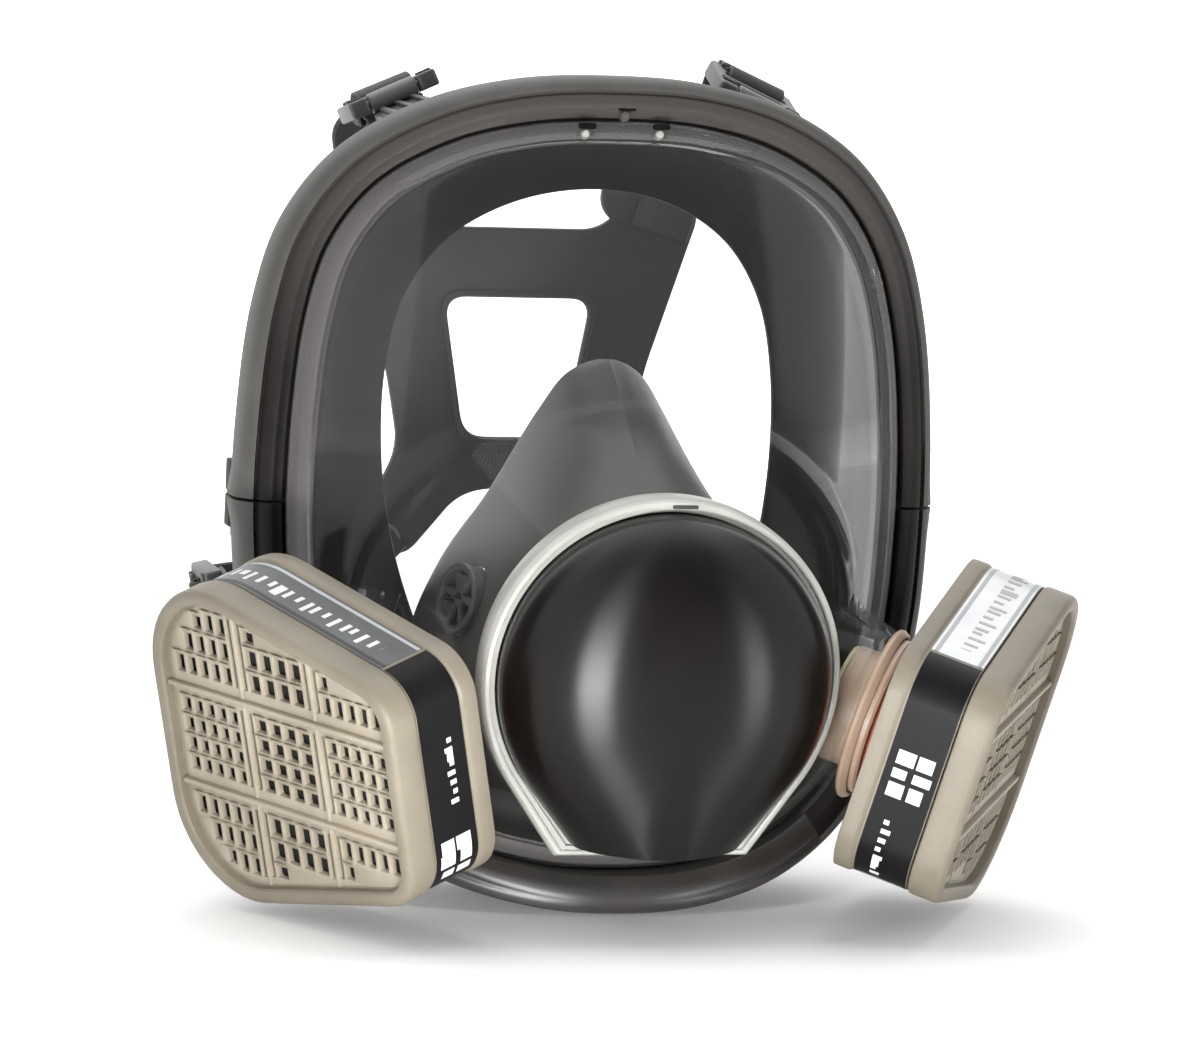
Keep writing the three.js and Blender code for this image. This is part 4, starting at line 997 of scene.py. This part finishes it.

# Mould pips on the lens's rim at the brow, under small notches in the frame that are drawn as thin dark
# sheets of painted shade.
BROW_OUT = (0, -0.94, 0.34)
BROW_PIPS = ((-10.5, 13.6, 0.4, 1.1), (9.5, 13.4, 0.5, 1.1), (0.5, 9.2, 1.2, 1.3))
for index, (away, inset, depth, size) in enumerate(BROW_PIPS):
    at = frame_point(np.array([away / FRAME_EDGE.length]), -inset, depth)[0]
    # The two pips on the lens are pale: a painted highlight.
    pip = lathe(f"brow_pip_{index}", [
        (0.01, 1.0), (0.5 * size, 0.9), (0.85 * size, 0.5), (size, -0.3), (size, -1.2), (0.01, -1.2),
    ], RING if index < 2 else FRAME_OUTER, placement(at, (1, 0, 0), BROW_OUT), 32)
    piece(pip, "mask", "lens" if index < 2 else "frame")
    # A thin dark sheet stands for each notch: painted shade.
    notch = plate(f"brow_notch_{index}", [rectangle(-2.3, -0.8, 2.3, 0.8, 0.7)], -0.15, 0.25, LABEL,
                  placement(at + np.array([0.4, 0.1, 1.9]), (1, 0, 0), BROW_OUT), 0.1)
    piece(notch, "mask", "frame")

# ---------------------------------------- face seal
# The seal's section as (out, depth), back along its outside and then forward along its inside.
SEAL_OUTSIDE = [
    (-4.3, 11.7), (-10.3, 11.7), (-10.3, 15.8), (-9.4, 16.4),
    (-8.6, 17.2), (-8.1, 21), (-7.9, 25), (-8, 28),
    (-8.3, 31), (-8.8, 34), (-10, 37), (-12.4, 38.9), (-15.5, 39.6), (-19, 39.5),
]
SEAL_INSIDE = [
    (-18, 36.9), (-15.5, 36.3), (-13.5, 35.3), (-12.2, 33.6),
    (-11.2, 31), (-10.6, 28), (-10.7, 24), (-11.2, 20),
    (-12.2, 18), (-13, 17), (-13, 8.4), (-12, 7.4), (-4.3, 7.4),
]


def seal_point(u, out, depth):
    t = np.clip((depth - 16.5) / 11.5, 0, 1)
    behind = t * t * (3 - 2 * t)
    return frame_point(u, out + 9 * chin_share(u) * behind, depth)


def opening_point(u, depth):
    p = OPENING_EDGE.at(u)
    y = wrap_depth(p[..., 0], p[..., 1]) + depth + 8 * (p[..., 0] / 50) ** 2
    return np.stack([p[..., 0], y, p[..., 1]], -1)


def seal_piece():
    u = np.arange(420) / 420
    rings = [seal_point(u, out, depth) for out, depth in SEAL_OUTSIDE]
    front = [seal_point(u, out, depth) for out, depth in SEAL_INSIDE]
    lip_back = opening_point(u, 31.0)
    lip_front = opening_point(u, 29.0)
    outside, inside = rings[-1], front[0]
    for s in (0.2, 0.4, 0.6, 0.8):
        sag = 2.2 * math.sin(math.pi * s)
        rings.append(outside * (1 - s) + lip_back * s + np.array([0, sag, 0]))
    rings += [lip_back, (lip_back + lip_front) / 2 + (lip_back - outside) * 0.012, lip_front]
    for s in (0.8, 0.6, 0.4, 0.2):
        sag = 2.2 * math.sin(math.pi * s)
        rings.append(inside * (1 - s) + lip_front * s + np.array([0, sag, 0]))
    rings += front
    rings = np.array(rings)
    rings[..., 2] = np.maximum(rings[..., 2], 0)
    return skin("seal_skirt", rings, SEAL, endless=True, angle=50)


piece(seal_piece(), "mask", "seal", "faceseal")

# ---------------------------------------- nose cup
NOSE_CENTRE = 66  # height
NOSE_MOUTH = 37.3  # radius where the cup meets the centre unit


def nose_point(u, share, thin):
    """Points on the cup, from the centre unit (share 0) to the face (share 1)."""
    p = NOSE_EDGE.at(u)
    angle = np.arctan2(p[:, 1] - NOSE_CENTRE, p[:, 0])
    turn = np.array(UNIT)
    local = np.stack([
        np.cos(angle) * NOSE_MOUTH, np.sin(angle) * NOSE_MOUTH, np.full_like(angle, -25.2),
    ], -1)
    front = local @ turn[:3, :3].T + turn[:3, 3]
    aside = np.sqrt(np.minimum(1, np.abs(p[:, 0]) / 47))
    back = np.stack([p[:, 0], DEPTH_SHIFT - 17.5 + 10 * aside, p[:, 1]], -1)
    swell = front * np.array([0.25, 0.66, 0.52]) + back * np.array([0.75, 0.34, 0.48])
    rest = 1 - share
    at = front * rest**2 + swell * 2 * share * rest + back * share**2
    reach = np.hypot(at[:, 0], at[:, 2] - NOSE_CENTRE)
    shrink = (reach - thin) / reach
    at[:, 0] *= shrink
    at[:, 2] = NOSE_CENTRE + (at[:, 2] - NOSE_CENTRE) * shrink
    return at


def cheek_matrix(side):
    out = Vector((side * 0.93, -0.3, 0.2)).normalized()
    along = Vector((0, 1, 0)) - out * out.y
    return placement((side * 39.5, -38 + DEPTH_SHIFT, 76), along, out)


def round_cutter(radius, low, high, matrix, steps=64):
    data = bpy.data.meshes.new("cutter")
    work = bmesh.new()
    bmesh.ops.create_cone(work, cap_ends=True, segments=steps, radius1=radius * MM, radius2=radius * MM,
                          depth=(high - low) * MM)
    work.to_mesh(data)
    work.free()
    data.transform(metres(matrix) @ Matrix.Translation((0, 0, (low + high) / 2 * MM)))
    return in_scene("cutter", data)


def nose_piece():
    u = np.arange(200) / 200
    outer = [nose_point(u, s, 0.0) for s in np.linspace(0, 1, 26)]
    lip = []
    for turn in (0.25, 0.5, 0.75):
        a = math.pi * turn
        lip.append(nose_point(u, 1 + 0.035 * math.sin(a), 1.0 - math.cos(a)))
    inner = [nose_point(u, s, 2.0) for s in np.linspace(1, 0, 26)]
    cup = skin("nose_shell", np.array(outer + lip + inner), NOSE, endless=True, angle=40)
    cut(cup, *[round_cutter(8.8, -8, 8, cheek_matrix(side)) for _, side in SIDES])
    collar = lathe("nose_collar", [
        (35.5, -25.7), (37.0, -25.7), (37.3, -25.3), (37.3, -21.6), (37, -21.3), (35.5, -21.3),
    ], NOSE, UNIT, 160)
    piece(collar, "mask", "nose")
    return piece(cup, "mask", "nose", "nose_cup")


nose_piece()
for label, side in SIDES:
    place = cheek_matrix(side)
    seat = lathe(label + "_cheek_seat", [
        (6.9, -2.6), (8.4, -2.6), (8.5, -2.4), (8.5, 2.1), (8.9, 2.5),
        (8.7, 3.0), (8.0, 3.2), (7.2, 2.9), (6.9, 2.4),
    ], NOSE, place, 72)
    piece(seat, "mask", "nose", label + "_nose_valve_seat")
    # Six windows: a hub, three main spokes and three thin ones between them.
    windows = []
    for sixth in range(6):
        first = math.radians(60 * sixth + 9)
        last = math.radians(60 * sixth + 51)
        outer = [(6.9 * math.cos(a), 6.9 * math.sin(a)) for a in np.linspace(first, last, 8)]
        inner = [(2.0 * math.cos(a), 2.0 * math.sin(a)) for a in np.linspace(last, first, 5)]
        windows.append(rounded(outer + inner, 0.4, 2))
    spider = plate(label + "_cheek_spider", [circle(7.2, 72)] + windows, 0.4, 2.2, NOSE, place, 0.35)
    piece(spider, "mask", "nose")

# ---------------------------------------- buckles, straps
# How far each buckle leans on its pin at rest, in degrees.
REST_TILT = {"upper_left": -8, "upper_right": 14, "lower_left": 0, "lower_right": 0}


def lug_matrix(share, side):
    """x along the pin, y back, z out from the skirt."""
    u = share if side > 0 else 1 - share
    t = FRAME_EDGE.along(u)
    out = Vector((-t[1], 0, t[0]))
    along = Vector((0, 1, 0)).cross(out).normalized()
    return placement(frame_point(u, 0.2, 40), along, out)


def ribbon(name, path, across, width, thickness, material, steps):
    """A flat strap along a path; across holds the direction of its width at each end."""
    p = np.array(path, float)
    ends = np.vstack([2 * p[0] - p[1], p, 2 * p[-1] - p[-2]])
    line = np.vstack([spline_span(*ends[i:i + 4], 24) for i in range(len(ends) - 3)] + [p[-1:]])
    far = np.concatenate([[0], np.cumsum(np.linalg.norm(np.diff(line, axis=0), axis=1))])
    want = np.linspace(0, far[-1], steps)
    line = np.stack([np.interp(want, far, line[:, k]) for k in range(3)], -1)
    tangent = np.gradient(line, axis=0)
    tangent /= np.linalg.norm(tangent, axis=1, keepdims=True)
    mix = (want / far[-1])[:, None]
    side = np.array(across[0]) * (1 - mix) + np.array(across[1]) * mix
    side -= tangent * (side * tangent).sum(1, keepdims=True)
    side /= np.linalg.norm(side, axis=1, keepdims=True)
    face = np.cross(tangent, side)
    half, deep = width / 2, thickness / 2
    upper = [(half - 2.2, deep - 0.25), (half - 1.8, deep), (half - 0.5, deep), (half, deep - 0.5)]
    section = [(-half + 0.5, -deep), (-half, -deep + 0.5)]
    section += [(-a, b) for a, b in reversed(upper)] + [(0, deep - 0.25)] + upper
    section += [(half, -deep + 0.5), (half - 0.5, -deep), (half - 2, -deep), (0, -deep), (-half + 2, -deep)]
    rings = [[line[i] + side[i] * a + face[i] * b for a, b in section] for i in range(len(line))]
    return skin(name, np.array(rings), material, caps=True, angle=40)


# Each strap's end, its bend before that, its lap on the cradle, and the way its width runs there.
STRAP_ENDS = {
    "upper": ((41.6, 77.0, 172.0), (47.5, 64, 186), (37.2, 77.8, 158), (-0.93, 0, 0.36)),
    "lower": ((41.5, 77.0, 72.4), (56, 71, 66), (33.5, 77.8, 79.5), (0.35, 0, 0.93)),
}


def buckle(level, label, side, share):
    tag = f"{level}_{label}"
    body = tag + "_buckle"
    base = lug_matrix(share, side)
    place = base @ Matrix.Rotation(math.radians(REST_TILT[tag]), 4, "X")
    notch = 7.0
    outline = rounded([
        (notch, -3), (12, -3), (12, 17), (10, 19), (-10, 19),
        (-12, 17), (-12, -3), (-notch, -3), (-notch, 4.5),
        (notch, 4.5),
    ], 1.0, 3)
    slots = [rectangle(-8.75, y - 1.5, 8.75, y + 1.5, 0.6) for y in (8.8, 14.2)]
    frame_plate = plate(tag + "_buckle_plate", [outline] + slots, -2.2, 2.2, BUCKLE, place, 0.7, 3)
    piece(frame_plate, body, "buckle", body)
    for index in range(7):
        x = -8.4 + index * 2.8
        tooth = bar(f"{tag}_buckle_tooth_{index}", x, 16.0, x, 18.7, 1.3, 1.6, 3.1, BUCKLE, place, 0.4)
        piece(tooth, body, "buckle")
    grip = bar(f"{tag}_buckle_lip", -9.5, 18.6, 9.5, 18.6, 1.5, -1.6, 3.0, BUCKLE, place, 0.5)
    piece(grip, body, "buckle")
    for index, y in enumerate((0.2, 2.0)):
        for end in (-9.6, 9.6):
            ridge = bar(f"{tag}_buckle_ridge_{index}_{'a' if end < 0 else 'b'}", end - 1.9, y,
                        end + 1.9, y, 0.8, 2.0, 2.7, BUCKLE, place, 0.25)
            piece(ridge, body, "buckle")
    pin = lathe(tag + "_pin_rod", [
        (0.01, -11.9), (0.8, -11.9), (1.1, -11.5), (1.1, 11.5), (0.8, 11.9), (0.01, 11.9),
    ], STEEL, place @ Matrix.Rotation(math.pi / 2, 4, "Y"), 32)
    piece(pin, body, "steel", tag + "_buckle_pin")
    eye = lathe(tag + "_lug_eye", [
        (1.4, -6.5), (2.2, -6.5), (2.6, -6.1), (2.6, 6.1), (2.2, 6.5), (1.4, 6.5),
    ], BUCKLE, base @ Matrix.Rotation(math.pi / 2, 4, "Y"), 48)
    piece(eye, "mask", "buckle")
    inward = base.inverted()
    u = share if side > 0 else 1 - share
    reach = 6.5 / FRAME_EDGE.length
    ends = sorted(
        (inward @ Vector(frame_point(u + step, -2.1, 16.4)) for step in (-reach, reach)), key=lambda v: v.x,
    )
    sole = rounded([(-6.5, 0), (-6.5, ends[0].y), (6.5, ends[1].y), (6.5, 0)], 1.2)
    foot = plate(tag + "_lug_foot", [sole], -4.9, -2.5, BUCKLE, base, 0.5)
    piece(foot, "mask", "buckle", tag + "_buckle_lug")
    for index, x in enumerate((-4.2, 0, 4.2)):
        web = bar(f"{tag}_lug_rib_{index}", x, -1.0, x, (ends[0].y + ends[1].y) / 2 + 2.5, 1.2,
                  -3.0, -1.4, BUCKLE, base, 0.3)
        piece(web, "mask", "buckle")
    end, bend, lap, width = STRAP_ENDS[level]
    path = [place @ Vector(p) for p in (
        (0, 24.5, -6.3), (0, 13, -5.4), (0, 5.6, -4.6), (0, 4.4, -2.9),
        (0, 6.3, -2.9), (0, 8.3, -0.9), (0, 9.2, 2.3),
        (0, 11.5, 3.6), (0, 13.8, 2.3), (0, 14.7, -0.9), (0, 16.8, -3.5), (0, 21, -3.4), (0, 30, -1.0),
    )]
    path += [Vector((side * x, y + DEPTH_SHIFT, z)) for x, y, z in (bend, end, lap)]
    along = np.array(place.col[0][:3])
    across = np.array([side * width[0], width[1], width[2]])
    if along @ across < 0:
        across = -across
    strap = ribbon(tag + "_strap_web", path, (along, across), 16, 1.5, HARNESS, 150)
    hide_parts(tag + "_strap")
    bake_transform(strap)


for label, side in SIDES:
    buckle("upper", label, side, FRAME_EDGE.share(195.2))
    buckle("lower", label, side, FRAME_EDGE.share(62))

# ---------------------------------------- harness cradle
CRADLE_HALF = [
    (0.5, 158.5), (22, 158.5), (33, 172), (49, 165), (42, 143), (35, 121), (31, 100), (42, 77), (29, 70),
    (14, 88), (0.5, 90),
]
CRADLE = placement((0, 80 + DEPTH_SHIFT, 0), (1, 0, 0), (0, -1, 0))


def mirrored(half):
    return half + [(-x, y) for x, y in reversed(half)]


window = rounded(mirrored([(20, 140), (13.5, 103)]), 6, 8)
web = [rounded(mirrored(CRADLE_HALF), 6, 8), window]
cradle = plate("cradle_web", web, -1.3, 1.3, HARNESS, CRADLE, 0.6, 3)
piece(cradle, "mask", "harness", "harness_cradle")
bead_loops = [
    rounded(mirrored([(22, 142), (15, 101)]), 7, 8),
    rounded(mirrored([(20.3, 140.3), (13.7, 102.7)]), 6, 8),
]
bead = plate("cradle_window_bead", bead_loops, 0.9, 2.0, HARNESS, CRADLE, 0.4, 3)
piece(bead, "mask", "harness")
for label, side in SIDES:
    for index, (x, z, radius) in enumerate(((38, 165.3, 6.2), (35, 74.8, 5.4))):
        stud = lathe(f"cradle_stud_{label}_{index}", [
            (0.01, 1.6), (radius * 0.45, 1.7), (radius * 0.6, 2.4), (radius * 0.85, 2.5), (radius, 1.9),
            (radius, 0.6), (0.01, 0.6),
        ], BUCKLE, CRADLE @ Matrix.Translation((side * x, z, 0)), 64)
        piece(stud, "mask", "buckle")

    disc = lathe(f"cradle_disc_{label}", [
        (0.01, 1.0), (4.4, 1.0), (4.8, 1.3), (6.4, 1.35),
        (7.0, 0.9), (7.0, -1.0), (6.4, -1.4), (0.01, -1.4),
    ], HARNESS, CRADLE @ Matrix.Translation((side * 28.5, 167, 0)), 64)
    piece(disc, "mask", "harness")

# ---------------------------------------- CAD nodes kept
KEPT = {
    "exhalation_valve_seat": INNER, "exhalation_valve_flap": VALVE, "centre_gasket": SEAL,
    "adapter_lock_ring": INNER,
    "left_frame_screw": STEEL, "right_frame_screw": STEEL, "left_frame_nut": STEEL, "right_frame_nut": STEEL,
    "left_nose_valve_flap": LABEL, "right_nose_valve_flap": LABEL, "left_inhalation_flap": VALVE,
    "right_inhalation_flap": VALVE, "left_carbon_bed": CARBON, "right_carbon_bed": CARBON,
}
for name, material in KEPT.items():
    part = nodes[name]
    part.data.materials.clear()
    part.data.materials.append(material)
    shade(part.data, 30)
    soften = part.modifiers.new("edges", "BEVEL")
    soften.width = 0.15 * MM
    soften.segments = 2
    soften.limit_method = "ANGLE"


# ---------------------------------------- stage
def studio_white(name, tone, emission, rough, specular):
    material = bpy.data.materials.new(name)
    material.use_nodes = True
    for socket, value in (
        ("Base Color", (tone, tone, tone, 1)), ("Roughness", rough), ("Specular IOR Level", specular),
        ("Emission Color", (1, 1, 1, 1)), ("Emission Strength", emission),
    ):
        material.node_tree.nodes["Principled BSDF"].inputs[socket].default_value = value
    return material


def sweep_floor():
    """A pale floor that curves up into a backdrop far behind."""
    profile = [(-3.0, 0), (0.75, 0), (1.6, 0)]
    bend = np.linspace(0.08, math.pi / 2, 14)
    profile += [(1.6 + 1.2 * math.sin(a), 1.2 - 1.2 * math.cos(a)) for a in bend]
    profile += [(2.8, 4.0)]
    data = bpy.data.meshes.new("studio_floor")
    verts = [(x, y, z) for y, z in profile for x in (-4.0, 4.0)]
    faces = [(2 * i, 2 * i + 1, 2 * i + 3, 2 * i + 2) for i in range(len(profile) - 1)]
    data.from_pydata(verts, [], faces)
    data.shade_smooth()
    glow = studio_white("studio_glow", 0.9, 1.05, 0.5, 0.5)
    white = studio_white("studio_white", 0.92, 0.1, 0.9, 0.1)
    data.materials.append(white)
    data.materials.append(glow)
    for face in data.polygons[1:]:  # all but the part of the floor under the mask
        face.material_index = 1
    in_scene("studio_floor", data)


def softbox(name, azimuth, distance, height, width, tall, radiance, aim):
    """A soft rectangle of light; azimuth 0 is straight in front of the mask."""
    lamp = bpy.data.lights.new(name, "AREA")
    lamp.shape = "RECTANGLE"
    lamp.size = width
    lamp.size_y = tall
    lamp.energy = radiance * math.pi * width * tall
    obj = in_scene(name, lamp)
    a = math.radians(azimuth)
    at = Vector((distance * math.sin(a), -distance * math.cos(a), height))
    toward = Vector((0, 0, aim)) - at
    obj.rotation_euler = toward.to_track_quat("-Z", "Y").to_euler()
    obj.location = at


sweep_floor()
# Each light's azimuth, distance, height, width, upright size, radiance and the height it is aimed at.
for name, *setting in (
    ("softbox_left", -56, 1.25, 0.62, 1.3, 1.3, 1.35, 0.09),
    ("softbox_right", 72, 1.25, 0.55, 1.15, 1.2, 1.0, 0.09),
    ("softbox_top", 180, 0.35, 1.5, 2.2, 1.8, 2.6, 0.09),
    ("softbox_low", -17, 0.32, 0.019, 0.075, 0.03, 130.0, 0.05),
    ("softbox_side", 34, 0.36, 0.022, 0.06, 0.035, 34.0, 0.05),
):
    softbox(name, *setting)
world = bpy.data.worlds.new("studio")
world.use_nodes = True
world.node_tree.nodes["Background"].inputs["Color"].default_value = (0.95, 0.96, 1.0, 1)
world.node_tree.nodes["Background"].inputs["Strength"].default_value = 0.12
scene.world = world

# ---------------------------------------- camera
# The camera's turn, rise, roll, place and focal length were solved against the photograph.
TURN, RISE, ROLL = math.radians(14.8), math.radians(7), math.radians(2.42)
CAMERA_PLACE = Vector((-0.37394, -1.41478, 0.2728))  # metres
FOCAL_LENGTH = 177.35
level = Vector((math.cos(TURN), -math.sin(TURN), 0))
back = Vector((-math.sin(TURN) * math.cos(RISE), -math.cos(TURN) * math.cos(RISE), math.sin(RISE)))
above = back.cross(level)
right = level * math.cos(ROLL) + above * math.sin(ROLL)
top = above * math.cos(ROLL) - level * math.sin(ROLL)
lens_data = bpy.data.cameras.new("photo_camera")
lens_data.lens = FOCAL_LENGTH
lens_data.sensor_width = 36
lens_data.clip_start = 0.05
camera = in_scene("photo_camera", lens_data)
turn = Matrix((right, top, back)).transposed().to_4x4()
turn.translation = CAMERA_PLACE
camera.matrix_world = turn
scene.camera = camera
scene.view_settings.view_transform = "Standard"
